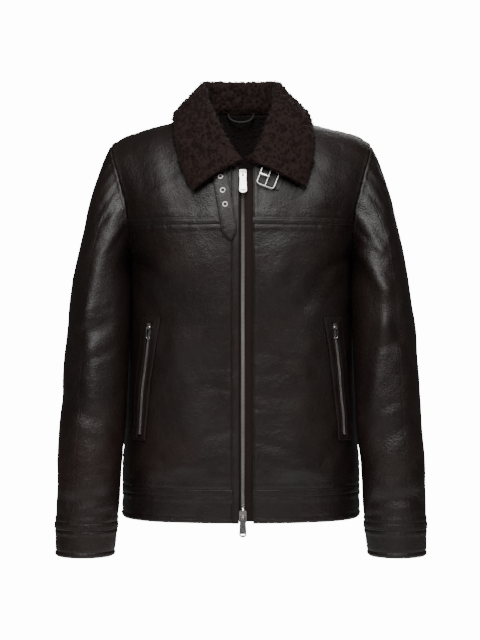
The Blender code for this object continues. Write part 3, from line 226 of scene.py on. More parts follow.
# Throat strap and buckle; tops, tips and centres are places (x, z) on the front
STRAP_LIFT = 0.0026
STRAP_THICK = 0.0024
STRAP_WIDE = 0.0255
STRAP_TOP = (-0.0365, -0.0865)
STRAP_TIP = (-0.0165, -0.2085)
EYELETS_Z = (-0.1043, -0.1272, -0.1504)
EYELET_RADIUS = 0.0050
EYELET_HOLE = 0.0024
BUCKLE_CENTRE = (0.0444, -0.1052)
BUCKLE_SLOPE = math.radians(-21.6)
BUCKLE_LONG = 0.0325
BUCKLE_WIDE = 0.0370
BUCKLE_WIRE = 0.0015
TAB_WIDE = 0.0285
TAB_THICK = 0.0022
TAB_LONG = 0.0355
TAB_INSET = 0.004  # from the frame's free end

# Pockets, centre zip and hanger; a lift is the face's distance out from the body's surface
POCKET_TOP = (0.1475, -0.3335)
POCKET_FOOT = (0.1690, -0.5405)
POCKET_TOP_WIDE = 0.0300
POCKET_FOOT_WIDE = 0.0205
POCKET_SLOT = 0.0072
POCKET_SHIFT = {"right": 0.0, "left": 0.003}
POCKET_LIFT = 0.0018
POCKET_CHAIN_THICK = 0.0014
CHAIN_TOP_Z = -0.106
CHAIN_FOOT_Z = -0.6520
CHAIN_HALF = 0.0031
CHAIN_THICK = 0.0032
CHAIN_LIFT = -0.0006
TAPE_LIFT = -0.0053
TAPE_THICK = 0.0010
HANGER_Y = 0.0544  # the loop lies on the inside of the back neck's seam
SIDES = {"right": -1.0, "left": 1.0}

# Sewn edges run a little into each other, so that no light comes through a seam
SEAM_GAP = -0.0004
SLEEVE_SEAM_HALF = -0.15  # degrees of the sleeve's turn
SLEEVE_CLEAR = -0.0020  # the sleeves press this far into the body's sides
ARMHOLE_LAP = 0.0007
STRIP_SHORT = 0.0006  # a yoke's strip ends this far before the armhole

# Where body and sleeve press on each other their creases fade: this far in from the body's side,
# and on the sleeve's inside between these heights and within this turn
SIDE_FADE = 0.014
PRESS_TOP_Z = -0.20
PRESS_FOOT_Z = -0.56
PRESS_TURN = 34.0
# Where the sleeve would hang clear of the body's side too soon, it bulges on to it
BULGE_HIGH = 0.0030
BULGE_Z = -0.290
BULGE_SPAN = 0.055

# Lines of the grids: the armhole's stretches beside a yoke and below it, then those of each piece
YOKE_STEPS = 40
LOWER_STEPS = 25
FRONT_SEAM_STEP = 25
FRONT_COLUMNS = 69
BACK_COLUMNS = 121
STRIP_ROWS = 15
COLLAR_STATIONS = 131
COLLAR_COLUMNS = 64

# Stage, with each lamp's name, place, size and power
FLOOR_Z = -1.20
FLOOR_SPAN = 3.2
FLOOR_GLOW = 0.35
WORLD_LIGHT = 0.06
BACKDROP = 14.0  # the world's strength where the camera sees it
CAMERA_PLACE = (-0.0017, -3.0, -0.339)
CAMERA_LENS = 98.2
LAMP_AIM = (0.0, 0.0, -0.33)
LAMPS = (
    ("front", (-0.25, -2.8, 1.75), 1.35, 66.0),
    ("key", (-1.2, -1.7, 0.95), 0.7, 6.0),
    ("fill", (1.4, -1.6, 0.85), 0.7, 7.0),
    ("top", (0.1, -0.9, 1.45), 1.2, 19.0),
    ("behind", (0.6, 2.0, 0.9), 1.4, 16.0),
)

# ---- creases ----

CREASE_DEPTH = 0.85
SLEEVE_CREASE_DEPTH = 0.85
# Each crease runs from one end to the other with a bell's width and height; below 0 is a trough
FRONT_CREASES = in_mm("x0 z0 x1 z1 wide high", (
    (24, -352, 50, -346, 7, -0.9),
    (24, -392, 75, -401, 8.5, -1.2),
    (24, -431, 56, -425, 7, -1),
    (26, -462, 88, -470, 9.5, -1.4),
    (24, -497, 60, -492, 7, 0.9),
    (26, -541, 78, -552, 8.5, -1.2),
    (24, -586, 52, -580, 7, -0.9),
    (-20, -371, -52, -364, 7.5, -0.9),
    (-20, -415, -40, -418, 6.5, -0.8),
    (-20, -455, -64, -446, 8, -1.1),
    (-20, -523, -58, -531, 8, -1.1),
    (-20, -578, -72, -570, 8.5, -1),
    (182, -236, 128, -262, 8.5, -1.8),
    (186, -262, 142, -305, 9, -1.6),
    (184, -300, 158, -352, 9, 1.4),
    (-181, -240, -132, -270, 9, -1.7),
    (-186, -272, -148, -322, 9, -1.4),
    (118, -335, 100, -430, 13, 1.5),
    (-112, -340, -104, -420, 13, 1.3),
    (150, -560, 104, -596, 11, -1.3),
    (-152, -556, -100, -598, 11, -1.4),
    (60, -604, 84, -586, 8, 0.9),
    (-46, -606, -30, -590, 8, 0.8),
    (-118, -606, -136, -584, 9, 0.9),
    (136, -606, 126, -580, 9, 0.9),
    (-104, -90, -160, -118, 10, -1.2),
    (-96, -130, -150, -142, 11, 1),
    (118, -80, 170, -112, 10, -1.2),
    (112, -136, 166, -150, 11, 1),
    (-150, -52, -188, -72, 9, -1),
    (152, -48, 190, -66, 9, -1),
    (82, -215, 64, -262, 15, 1.4),
    (66, -262, 40, -292, 13, 1.2),
    (-52, -225, -70, -330, 17, 1.4),
    (-95, -205, -116, -250, 14, -1.2),
))
BACK_CREASES = in_mm("x0 z0 x1 z1 wide high", (
    (-182, -230, -126, -268, 9, -1.8),
    (-186, -268, -140, -318, 9, -1.5),
    (183, -234, 120, -262, 9, -1.7),
    (186, -276, 146, -334, 9.5, -1.5),
    (-166, -388, -72, -405, 11, -1.6),
    (-154, -478, -50, -470, 10, -1.4),
    (162, -420, 62, -436, 11, -1.7),
    (150, -530, 38, -540, 11, -1.4),
    (-128, -532, -30, -548, 10, -1.3),
    (-95, -600, -60, -582, 9, 1),
    (20, -604, 52, -584, 9, 1),
    (118, -602, 146, -578, 10, 1.1),
    (-30, -372, 26, -378, 12, 1),
    (-90, -290, -62, -210, 16, 1.4),
    (74, -296, 92, -206, 16, 1.3),
    (-120, -60, -176, -96, 10, -1.1),
    (118, -64, 178, -92, 10, -1.2),
    (-40, -110, 46, -118, 14, 0.9),
))
SLEEVE_CREASES = {
    "right": in_mm("turn0 z0 turn1 z1 wide high", (
        (34, -62, 26, -96, 6, -1.5),
        (48, -77, 38, -121, 6.5, -2),
        (61, -96, 50, -137, 6, -1.7),
        (72, -114, 58, -165, 7, -2.1),
        (85, -135, 72, -176, 6.5, -1.6),
        (98, -160, 84, -214, 7, -1.8),
        (112, -186, 100, -226, 7, -1.5),
        (20, -270, 66, -292, 10, 1.3),
        (62, -336, 118, -318, 8, -1.9),
        (28, -362, 84, -352, 8.5, -1.7),
        (70, -412, 124, -388, 8, -1.7),
        (30, -428, 78, -440, 9, 1.3),
        (48, -522, 104, -540, 9, -1.3),
        (16, -572, 60, -560, 10, 1.2),
        (60, -598, 126, -586, 8.5, -1.5),
        (18, -632, 74, -644, 8, -1.4),
        (88, -662, 148, -654, 7, -1.3),
        (-34, -352, -86, -332, 9, -1.9),
        (-48, -396, -128, -388, 8.5, -2.2),
        (-30, -470, -92, -492, 9, -1.7),
        (-60, -532, -150, -520, 9, -1.6),
        (-24, -620, -88, -640, 9, -1.6),
        (-96, -654, -168, -640, 8, -1.4),
        (150, -300, 196, -330, 9, -1.6),
        (144, -452, 206, -430, 9, -1.6),
        (-40, -74, -30, -112, 6.5, -1.6),
        (-66, -106, -54, -150, 7, -1.8),
        (-94, -156, -80, -206, 7.5, -1.7),
    )),
    "left": in_mm("turn0 z0 turn1 z1 wide high", (
        (30, -60, 22, -92, 6.5, -1.4),
        (44, -72, 34, -110, 6, -1.8),
        (58, -92, 47, -134, 6.5, -1.8),
        (74, -118, 60, -150, 6, -1.6),
        (92, -150, 74, -206, 7.5, -2.2),
        (110, -184, 94, -222, 7, -1.8),
        (60, -196, 84, -222, 8, 1.8),
        (108, -206, 84, -224, 7, 1.5),
        (52, -240, 78, -262, 9, -1.6),
        (62, -322, 30, -300, 9, 1.4),
        (66, -372, 128, -392, 8.5, -1.8),
        (26, -436, 72, -420, 9, -1.5),
        (72, -474, 126, -492, 8.5, -1.5),
        (20, -548, 64, -560, 10, 1.2),
        (58, -584, 118, -598, 8.5, -1.4),
        (24, -646, 84, -634, 8, -1.4),
        (92, -658, 156, -664, 7, -1.2),
        (-36, -340, -92, -356, 9, -2),
        (-44, -404, -122, -392, 8.5, -2),
        (-34, -488, -98, -474, 9, -1.6),
        (-66, -520, -146, -534, 9, -1.6),
        (-28, -636, -86, -620, 9, -1.5),
        (-100, -644, -164, -656, 8, -1.3),
        (148, -320, 200, -302, 9, -1.5),
        (146, -440, 208, -462, 9, -1.5),
        (-36, -70, -28, -104, 6.5, -1.5),
        (-62, -100, -52, -146, 7, -1.8),
        (-90, -150, -78, -198, 7.5, -1.6),
    )),
}

# Slow unevenness of the hide: sines with these wavelengths and heights, each in its own direction
HIDE = table("wavelength high way_x way_y way_z start", (
    (0.142, 0.0005, 0.8, 0.2, 0.55, 0.4),
    (0.098, 0.00042, -0.45, 0.6, 0.8, 2.1),
    (0.071, 0.0003, 0.62, -0.5, 0.48, 4.4),
    (0.052, 0.00022, -0.7, -0.3, 0.66, 1.3),
    (0.037, 0.00016, 0.5, 0.7, -0.6, 5.2),
    (0.026, 0.00012, 0.9, -0.2, 0.35, 3),
    (0.019, 8e-05, -0.3, 0.8, 0.55, 0.9),
))

# Pucker along a seam: sines of the length along it
PUCKER = table("wavelength high start", (
    (0.0075, 0.00016, 0.3),
    (0.0112, 0.00024, 1.9),
    (0.0171, 0.00026, 4.2),
    (0.032, 0.00022, 2.6),
))

# ---- curves and surfaces ----


def smooth(at, stations, values):
    """Cubic through the stations, with slopes limited so that it never overshoots."""
    at = np.clip(np.asarray(at, float), stations[0], stations[-1])
    step = np.diff(stations)
    slope = np.diff(values) / step
    tangent = np.zeros(len(stations))
    same_way = slope[1:] * slope[:-1] > 0
    mean = 2 * slope[1:] * slope[:-1] / np.where(same_way, slope[1:] + slope[:-1], 1.0)
    tangent[1:-1] = np.where(same_way, mean, 0.0)
    tangent[0] = slope[0]
    tangent[-1] = slope[-1]
    cell = np.clip(np.searchsorted(stations, at, side="right") - 1, 0, len(step) - 1)
    t = (at - stations[cell]) / step[cell]
    leave, arrive = tangent[cell] * step[cell], tangent[cell + 1] * step[cell]
    start = values[cell] * (1 + 2 * t) * (1 - t) ** 2 + leave * t * (1 - t) ** 2
    end = values[cell + 1] * t**2 * (3 - 2 * t) - arrive * t**2 * (1 - t)
    return start + end


def soft_step(share):
    share = np.clip(share, 0.0, 1.0)
    return share * share * (3 - 2 * share)


def unit(vectors):
    return vectors / np.maximum(np.linalg.norm(vectors, axis=-1, keepdims=True), 1e-12)


def mirrored(side):
    """Factors that carry a point of the wearer's left side over to this side."""
    return np.array([SIDES[side], 1.0, 1.0])


def circle(steps):
    return np.linspace(0, 2 * math.pi, steps, endpoint=False)


def fold_height(across, height, folds):
    """Sum of the soft ridges: each falls off as a bell with the distance to its line."""
    total = np.zeros(np.broadcast(across, height).shape)
    for a0, z0, a1, z1, wide, high in zip(*folds.values()):
        run = np.array([a1 - a0, z1 - z0])
        share = ((across - a0) * run[0] + (height - z0) * run[1]) / (run @ run)
        share = np.clip(share, 0.0, 1.0)
        away = (across - a0 - share * run[0]) ** 2 + (height - z0 - share * run[1]) ** 2
        total = total + high * np.exp(-away / wide**2)
    return total


def column_at(form, column, at):
    """Named column of a table, read as a smooth curve of the table's first column."""
    places = next(iter(form.values()))
    way = 1 if places[0] < places[-1] else -1
    return smooth(at, places[::way], form[column][::way])


def ridge_z(x):
    return column_at(RIDGE, "height", np.abs(x))


def climbed(x, z):
    """0 at the armpit's height and below, 1 on the shoulder seam."""
    return np.clip((z - PIT_Z) / (ridge_z(x) - PIT_Z), 0.0, 1.0)


def ring_parts(x, z, front):
    half = column_at(TORSO, "half_width", z)
    depth = column_at(TORSO, "front" if front else "back", z)
    power, curve = FRONT_RISE if front else BACK_RISE
    share = climbed(x, z)
    side = (1 - np.clip(np.abs(x) / half, 0, 1) ** ROUNDNESS) ** (1 / ROUNDNESS)
    rise = (1 - share**power) ** curve
    middle = SIDE_SEAM_Y * (1 - soft_step(share))
    return half, depth, side, rise, share, middle


def torso_normals(points, front):
    """Outward, as the gradient of whichever form of the ring's equation is well behaved."""
    power, curve = FRONT_RISE if front else BACK_RISE
    sign = -1.0 if front else 1.0

    def both(at):
        x, y, z = at[..., 0], at[..., 1], at[..., 2]
        half, depth, side, rise, share, middle = ring_parts(x, z, front)
        out = np.maximum(sign * (y - middle) - SEAM_GAP / 2, 0.0)
        ring = (out / np.maximum(depth * rise, 1e-5)) ** ROUNDNESS + (np.abs(x) / half) ** ROUNDNESS
        arch = (out / np.maximum(depth * side, 1e-5)) ** (1 / curve) + share**power
        return ring, arch

    step = 2e-6
    ring_slope, arch_slope = [], []
    for axis in range(3):
        shift = np.zeros(3)
        shift[axis] = step
        ring_high, arch_high = both(points + shift)
        ring_low, arch_low = both(points - shift)
        ring_slope.append(ring_high - ring_low)
        arch_slope.append(arch_high - arch_low)
    ring_slope = unit(np.stack(ring_slope, axis=-1) / step)
    arch_slope = unit(np.stack(arch_slope, axis=-1) / step)
    share = climbed(points[..., 0], points[..., 2])[..., None]
    return unit(np.where(share > 0.4, arch_slope, ring_slope))


def bent_sines(points, waves, bend):
    """Sum of sines, each of the distance along its own direction and bent by those before it."""
    total = np.zeros(points.shape[:-1])
    for length, high, way_x, way_y, way_z, start in zip(*waves.values()):
        along = points @ unit(np.array([way_x, way_y, way_z]))
        total = total + high * np.sin(2 * math.pi * along / length + start + bend * total)
    return total


def hide_waves(points):
    return bent_sines(points, HIDE, 900.0)


def at_side(x, z):
    """1 over most of the body and 0 at its sides, where the sleeves press the creases flat."""
    inwards = column_at(TORSO, "half_width", z) - np.abs(x)
    below_pit = soft_step((PIT_Z + 0.02 - z) / 0.03)
    return 1 - (1 - soft_step(inwards / SIDE_FADE)) * below_pit


def torso(x, z, front, lift=0.0):
    """Body surface and its outward normals.

    Each height is a superellipse that closes onto the shoulder seam above the armpit. The folds,
    the creases, the hide's waves and the lift move it along its normal."""
    x, z = np.broadcast_arrays(np.asarray(x, float), np.asarray(z, float))
    _, depth, side, rise, _, middle = ring_parts(x, z, front)
    out = SEAM_GAP / 2 + depth * side * rise
    y = middle + (-out if front else out)
    points = np.stack([x, y, z], axis=-1)
    normals = torso_normals(points, front)
    ridge = fold_height(x, z, FRONT_FOLDS if front else BACK_FOLDS)
    ridge = ridge + CREASE_DEPTH * fold_height(x, z, FRONT_CREASES if front else BACK_CREASES)
    ridge = (ridge + hide_waves(points)) * at_side(x, z)
    return points + normals * (ridge + lift)[..., None], normals


def across_at(angle, z):
    """Place across of the ring's point at this angle from its middle, 90 at the side seam."""
    half = column_at(TORSO, "half_width", z)
    return half * np.sin(np.radians(angle)) ** (2 / ROUNDNESS)


def angle_at(x, z):
    half = column_at(TORSO, "half_width", z)
    return np.degrees(np.arcsin(np.clip(np.abs(x) / half, 0, 1) ** (ROUNDNESS / 2)))


def armhole(turn, front):
    """Ring angle and height of the armhole seam, turn 0 at the shoulder and 180 at the armpit."""
    top = float(ridge_z(SHOULDER_X))
    z = PIT_Z + (top - PIT_Z) * (1 + np.cos(np.radians(turn))) / 2
    angle = column_at(ARMHOLE, "front" if front else "back", turn)
    top_angle = angle_at(SHOULDER_X, top)
    angle = angle + (top_angle - ARMHOLE["front"][0]) * np.clip(1 - turn / 60.0, 0, 1)
    return angle, z


def armhole_turn(z):
    top = float(ridge_z(SHOULDER_X))
    return np.degrees(np.arccos(np.clip(2 * (z - PIT_Z) / (top - PIT_Z) - 1, -1, 1)))


def yoke_turns(front):
    """Turns of the armhole's stretches beside the yoke, from the shoulder down."""
    return np.linspace(0, armhole_turn(FRONT_YOKE_Z if front else BACK_YOKE_Z), YOKE_STEPS + 1)


def lower_turns(front):
    return np.linspace(yoke_turns(front)[-1], 180, LOWER_STEPS + 1)


def sleeve_start(turn):
    """Armhole seam, the body's outward normal there and the way out of the body along it."""
    points = np.zeros((*turn.shape, 3))
    normals = np.zeros_like(points)
    wrapped = (turn + 180) % 360 - 180
    for front in (True, False):
        chosen = wrapped >= 0 if front else wrapped < 0
        angle, z = armhole(np.abs(wrapped), front)
        place, normal = torso(across_at(angle, z), z, front)
        points[chosen], normals[chosen] = place[chosen], normal[chosen]
    return points, normals


def sleeve_section(turn, z):
    """Ellipse of the sleeve at each height: turn 0 is outwards and 90 to the front."""
    columns = ("centre_x", "centre_y", "half_width", "half_depth")
    centre_x, centre_y, half_width, half_depth = (column_at(SLEEVE, name, z) for name in columns)
    around = np.radians(turn)
    x = centre_x + half_width * np.cos(around)
    y = centre_y - half_depth * np.sin(around)
    return np.stack(np.broadcast_arrays(x, y, z), axis=-1)


def sleeve_bare(turn, run):
    """Sleeve with no folds: run 0 to 1 is the cap, 1 to 2 the tube down to the cuff's seam.

    The cap's lines are Hermite curves from the armhole to the first section: they leave the
    armhole upwards and outwards at the shoulder and straight down at the armpit."""
    turn, run = np.broadcast_arrays(np.asarray(turn, float), np.asarray(run, float))
    around = np.radians(turn)
    start, normals = sleeve_start(turn)
    pit = soft_step((np.abs((turn + 180) % 360 - 180) - 100) / 80)
    step = 0.5
    ahead, _ = sleeve_start(turn + step)
    behind, _ = sleeve_start(turn - step)
    outward = unit(np.cross(normals, ahead - behind))
    start = start - ARMHOLE_LAP * (outward + 1.6 * pit[..., None] * normals)
    first_z = SLEEVE["height"][0]
    end = sleeve_section(turn, np.full(turn.shape, first_z))
    below = sleeve_section(turn, np.full(turn.shape, first_z - 0.03))
    reach = np.linalg.norm(end - start, axis=-1, keepdims=True)
    leave = np.stack(
        [
            0.030 * (1 + np.cos(around)) + 0.050 * np.sin(around) ** 2 + 0.014 * pit,
            -0.045 * np.sin(around),
            -0.055 - 0.085 * np.sin(around) ** 2,
        ],
        axis=-1,
    )
    arrive = unit(below - end) * reach
    t = np.clip(run, 0, 1)[..., None]
    cap = (
        start * (1 + 2 * t) * (1 - t) ** 2
        + leave * t * (1 - t) ** 2
        + end * t * t * (3 - 2 * t)
        - arrive * t * t * (1 - t)
    )
    z = first_z + (CUFF_SEAM_Z - first_z) * np.clip(run - 1, 0, 1.2)
    return np.where(run[..., None] <= 1, cap, sleeve_section(turn, z))


def clear_of_body(points, share):
    """Moves points outwards, softly, to where a sleeve just clears the body it hangs against."""
    x, y, z = points[..., 0], points[..., 1], points[..., 2]
    half = column_at(TORSO, "half_width", z)
    depth = np.where(y < SIDE_SEAM_Y, column_at(TORSO, "front", z), column_at(TORSO, "back", z))
    away = np.clip(np.abs(y - SIDE_SEAM_Y) / depth, 0, 1)
    wanted = half * (1 - away**ROUNDNESS) ** (1 / ROUNDNESS) + SLEEVE_CLEAR
    short = np.where(z < PIT_Z + 0.012, wanted - x, -1.0)
    push = (short + np.sqrt(short**2 + SLEEVE_CLEAR**2)) / 2 * share
    return points + push[..., None] * np.array([1.0, 0.0, 0.0])


def in_metres(folds):
    """The table with its turns as lengths round the sleeve."""
    named = dict(folds)
    for name in ("turn0", "turn1"):
        named[name] = folds[name] * DEGREE_OF_SLEEVE
    return named


def sleeve(turn, run, side, lift=0.0):
    """Sleeve surface and its outward normals: the bare tube moved out by its folds and creases."""
    turn, run = np.broadcast_arrays(np.asarray(turn, float), np.asarray(run, float))
    points = sleeve_bare(turn, run)
    around = sleeve_bare(turn + 0.4, run) - sleeve_bare(turn - 0.4, run)
    down = sleeve_bare(turn, run + 0.004) - sleeve_bare(turn, np.maximum(run - 0.004, 0))
    normals = unit(np.cross(around, down))
    fade = soft_step(run / 0.35)
    height = points[..., 2]
    turned = (turn + 180) % 360 - 180
    layers = (
        (SLEEVE_FOLDS[side], fade),
        (SLEEVE_CREASES[side], SLEEVE_CREASE_DEPTH * soft_step(run / 0.06)),
    )
    ridge = np.zeros(turn.shape)
    for folds, share in layers:
        here = in_metres(folds)
        near = fold_height(turned * DEGREE_OF_SLEEVE, height, here)
        over = fold_height((turned % 360) * DEGREE_OF_SLEEVE, height, here)
        ridge = ridge + share * np.where(turned < -90, near + over, near)
    mirror = mirrored(side)
    ridge = ridge + hide_waves(points * mirror) * fade
    inside = np.exp(-(((turn % 360 - 180) / PRESS_TURN) ** 2))
    pressed = inside * soft_step((height - PRESS_FOOT_Z) / 0.10)
    ridge = ridge * (1 - pressed * soft_step((PRESS_TOP_Z - height) / 0.04))
    ridge = ridge + BULGE_HIGH * pressed * np.exp(-(((height - BULGE_Z) / BULGE_SPAN) ** 2))
    points = clear_of_body(points + normals * (ridge + lift)[..., None], fade)
    return points * mirror, normals * mirror


def sleeve_turns():
    """Turns of each half's lines, which meet the corners of the body's armhole edge."""
    front = np.concatenate([yoke_turns(True), lower_turns(True)[1:]])
    back = np.concatenate([yoke_turns(False), lower_turns(False)[1:]])
    top = np.concatenate([-back[YOKE_STEPS:0:-1], front[: FRONT_SEAM_STEP + 1]])
    under = np.concatenate([front[FRONT_SEAM_STEP:], 360 - back[-2 : YOKE_STEPS - 1 : -1]])
    return {"top": top, "under": under}


# ---- meshes ----

SURFACES = {}  # face and back of each shell by its name


def mesh_object(name, points, face_sets, looks, slots=None, sharp=42.0):
    """Object from an array of points and arrays of faces with the same number of corners each."""
    flat = np.asarray(points, float).reshape(-1, 3)
    corners = np.concatenate([faces.ravel() for faces in face_sets]).astype(np.int32)
    sizes = np.concatenate([np.full(len(faces), faces.shape[1]) for faces in face_sets])
    mesh = bpy.data.meshes.new(name)
    mesh.vertices.add(len(flat))
    mesh.vertices.foreach_set("co", flat.ravel())
    mesh.loops.add(len(corners))
    mesh.loops.foreach_set("vertex_index", corners)
    mesh.polygons.add(len(sizes))
    mesh.polygons.foreach_set("loop_start", (np.cumsum(sizes) - sizes).astype(np.int32))
    for look in looks:
        mesh.materials.append(look)
    if slots is not None:
        mesh.polygons.foreach_set("material_index", np.asarray(slots, np.int32))
    mesh.update(calc_edges=True)
    mesh.shade_smooth()
    mesh.set_sharp_from_angle(angle=math.radians(sharp))
    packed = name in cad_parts
    obj = bpy.data.objects.new(name + "_fine" if packed else name, mesh)
    bpy.context.scene.collection.objects.link(obj)
    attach(obj, "jacket")
    if packed:
        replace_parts(obj, name)
    return obj


def square_faces(a, b, c, d):
    return np.stack([a, b, c, d], axis=-1).reshape(-1, 4)


def shell(name, outer, inner, looks, ring=False):
    """Closed wall between two grids of points: looks are those of its face, back and edge."""
    SURFACES[name] = (outer, inner)
    across = np.roll(outer, -1, axis=0)[: len(outer) - 1, :-1] - outer[:-1, :-1]
    along = outer[:-1, 1:] - outer[:-1, :-1]
    if (np.cross(across, along) * (outer - inner)[:-1, :-1]).sum() < 0:
        outer, inner = outer[:, ::-1], inner[:, ::-1]
    rows, columns = outer.shape[:2]
    number = np.arange(rows * columns).reshape(rows, columns)
    if ring:
        number = np.vstack([number, number[:1]])
    under = number + rows * columns
    face = square_faces(number[:-1, :-1], number[1:, :-1], number[1:, 1:], number[:-1, 1:])
    back = square_faces(under[:-1, :-1], under[:-1, 1:], under[1:, 1:], under[1:, :-1])
    rims = [
        square_faces(number[:-1, 0], under[:-1, 0], under[1:, 0], number[1:, 0]),
        square_faces(number[:-1, -1], number[1:, -1], under[1:, -1], under[:-1, -1]),
    ]
    if not ring:
        rims.append(square_faces(number[0, :-1], number[0, 1:], under[0, 1:], under[0, :-1]))
        rims.append(square_faces(number[-1, :-1], under[-1, :-1], under[-1, 1:], number[-1, 1:]))
    rim = np.concatenate(rims)
    slots = np.repeat([0, 1, 2], [len(face), len(back), len(rim)])
    points = np.concatenate([outer.reshape(-1, 3), inner.reshape(-1, 3)])
    return mesh_object(name, points, [face, back, rim], looks, slots)


def scattered(name, shape, faces, centres, axes, looks, caps=()):
    """One object of many like forms: shape's points are (x, y, z) along each one's three axes."""
    points = centres[:, None] + np.einsum("sk,nkj->nsj", shape, axes)
    start = np.arange(len(centres))[:, None, None] * len(shape)
    sets = [(faces[None] + start).reshape(-1, faces.shape[1])]
    sets += [(cap[None] + start).reshape(-1, cap.shape[1]) for cap in caps]
    return mesh_object(name, points, sets, looks)


def tube_faces(rings, sides):
    """Side faces and the two end caps of a tube, with its points ring by ring."""
    number = np.arange(rings * sides).reshape(rings, sides)
    onward = np.roll(number, -1, axis=1)
    skin = square_faces(number[:-1], onward[:-1], onward[1:], number[1:])
    return skin, (number[:1, ::-1], number[-1:])


# ---- seams ----

SWELL_IN = 0.0045  # the swell's place beside the groove, then its width
SWELL_WIDE = 0.0036
STITCH_WIDE = 0.0012
PUCKER_START = 0.0025
PUCKER_REACH = 0.0085


def lengths_along(points, axis):
    """Distance along the grid's lines from the first one, in metres."""
    steps = np.linalg.norm(np.diff(points, axis=axis), axis=-1)
    start = np.zeros_like(np.take(steps, [0], axis=axis))
    return np.concatenate([start, steps.cumsum(axis=axis)], axis)


def pucker(run, seed):
    total = np.zeros_like(run)
    for length, high, start in zip(*PUCKER.values()):
        total = total + high * np.sin(2 * math.pi * run / length + start + seed + 1500.0 * total)
    return total


def relief(points, edges):
    """Height over a panel from how each of its edges is sewn.

    edges names an edge form for the first and last line across, then the first and last up."""
    total = np.zeros(points.shape[:2])
    for number, form in enumerate(edges):
        if form == "plain":
            continue
        flat, dip, dip_wide, swell, gather, stitch, stitch_dip = EDGE_FORMS[form]
        axis, last = divmod(number, 2)
        lined = np.moveaxis(points, axis, 0)
        lined = lined[::-1] if last else lined
        away = lengths_along(lined, 0)
        run = lengths_along(lined, 1)[:1] + 0 * away
        beyond = np.maximum(away - flat, 0)
        height = swell * np.exp(-(((beyond - SWELL_IN) / SWELL_WIDE) ** 2)) * (away >= flat)
        height = height - dip * np.exp(-((away / max(dip_wide, 1e-5)) ** 2))
        height = height - stitch_dip * np.exp(-(((away - stitch) / STITCH_WIDE) ** 2))
        bell = soft_step(beyond / PUCKER_START) * np.exp(-((beyond / PUCKER_REACH) ** 2))
        height = height + gather * pucker(run, number * 1.7) * bell
        height = height[::-1] if last else height
        total = total + np.moveaxis(height, 0, axis)
    return total


def line_near(name, number, away):
    """Points and outward directions along a shell, at this distance from its numbered edge."""
    found = []
    outer, inner = SURFACES[name]
    axis, last = divmod(number, 2)
    lined = [np.moveaxis(grid, axis, 0)[:: -1 if last else 1] for grid in (outer, inner)]
    length = lengths_along(lined[0], 0)
    after = np.clip((length < away).sum(axis=0), 1, len(length) - 1)
    column = np.arange(length.shape[1])
    share = (away - length[after - 1, column]) / (length[after, column] - length[after - 1, column])
    for grid in lined:
        before, behind = grid[after - 1, column], grid[after, column]
        found.append(before + share[:, None] * (behind - before))
    return found[0], unit(found[0] - found[1])


def evenly(points, others, pitch):
    """Places at an even pitch along a line of points, with the others read there and the way on."""
    run = np.concatenate([[0], np.linalg.norm(np.diff(points, axis=0), axis=1).cumsum()])
    at = np.arange(pitch / 2, run[-1], pitch)

    def read(values, places):
        return np.stack([np.interp(places, run, column) for column in values.T], axis=-1)

    ahead = unit(read(points, at + pitch / 4) - read(points, at - pitch / 4))
    return read(points, at), read(others, at), ahead


def crowded(count):
    """0 to 1 in even cells, with closer lines in the first and last two cells."""
    cell = 1.0 / (count - 1)
    start = np.array([0.0, 0.3, 0.65, 1.0, 1.45]) * cell
    return np.concatenate([start, np.linspace(2 * cell, 1 - 2 * cell, count - 4), 1 - start[::-1]])


# ---- materials ----


class Recipe:
    """One procedural material: nodes are added by name and joined by their sockets."""

    def __init__(self, name):
        self.material = bpy.data.materials.new(name)
        self.material.use_nodes = True
        self.tree = self.material.node_tree
        self.shader = next(n for n in self.tree.nodes if n.type == "BSDF_PRINCIPLED")
        self.place = self.node("ShaderNodeTexCoord").outputs["Object"]
        self.normal = None

    def node(self, kind, inputs=None, **settings):
        made = self.tree.nodes.new(kind)
        for key, value in settings.items():
            setattr(made, key, value)
        for key, value in (inputs or {}).items():
            if isinstance(value, bpy.types.NodeSocket):
                self.tree.links.new(value, made.inputs[key])
            else:
                made.inputs[key].default_value = value
        return made

    def noise(self, size, detail=3.0, roughness=0.55, distortion=0.0):
        """Noise whose blobs are about this size in metres, from 0 to 1."""
        inputs = {"Vector": self.place, "Scale": 0.5 / size, "Detail": detail}
        inputs.update({"Roughness": roughness, "Distortion": distortion})
        return self.node("ShaderNodeTexNoise", inputs).outputs["Fac"]

    def cells(self, size, feature="F1"):
        inputs = {"Vector": self.place, "Scale": 1.0 / size}
        return self.node("ShaderNodeTexVoronoi", inputs, feature=feature).outputs["Distance"]

    def spread(self, value, low, high, first=0.0, last=1.0):
        """The value's part from low to high, drawn out from first to last."""
        inputs = {"Value": value, 1: low, 2: high, 3: first, 4: last}
        return self.node("ShaderNodeMapRange", inputs).outputs["Result"]

    def mixed(self, share, one, other):
        inputs = {"Factor": share, 6: one, 7: other}
        return self.node("ShaderNodeMix", inputs, data_type="RGBA").outputs[2]

    def maths(self, operation, one, other):
        return self.node("ShaderNodeMath", {0: one, 1: other}, operation=operation).outputs[0]

    def bump(self, height, deep):
        inputs = {"Height": height, "Strength": 1.0, "Distance": deep}
        if self.normal is not None:
            inputs["Normal"] = self.normal
        self.normal = self.node("ShaderNodeBump", inputs).outputs["Normal"]

    def done(self, colour=None, roughness=None, **values):
        main = {"Base Color": colour, "Roughness": roughness, "Normal": self.normal}
        for key, value in main.items():
            if isinstance(value, bpy.types.NodeSocket):
                self.tree.links.new(value, self.shader.inputs[key])
            elif value is not None:
                self.shader.inputs[key].default_value = value
        for key, value in values.items():
            self.shader.inputs[key.replace("_", " ")].default_value = value
        return self.material


LOOKS = {}


def tone(colour, share=1.0):
    return (*(share * part for part in colour), 1.0)


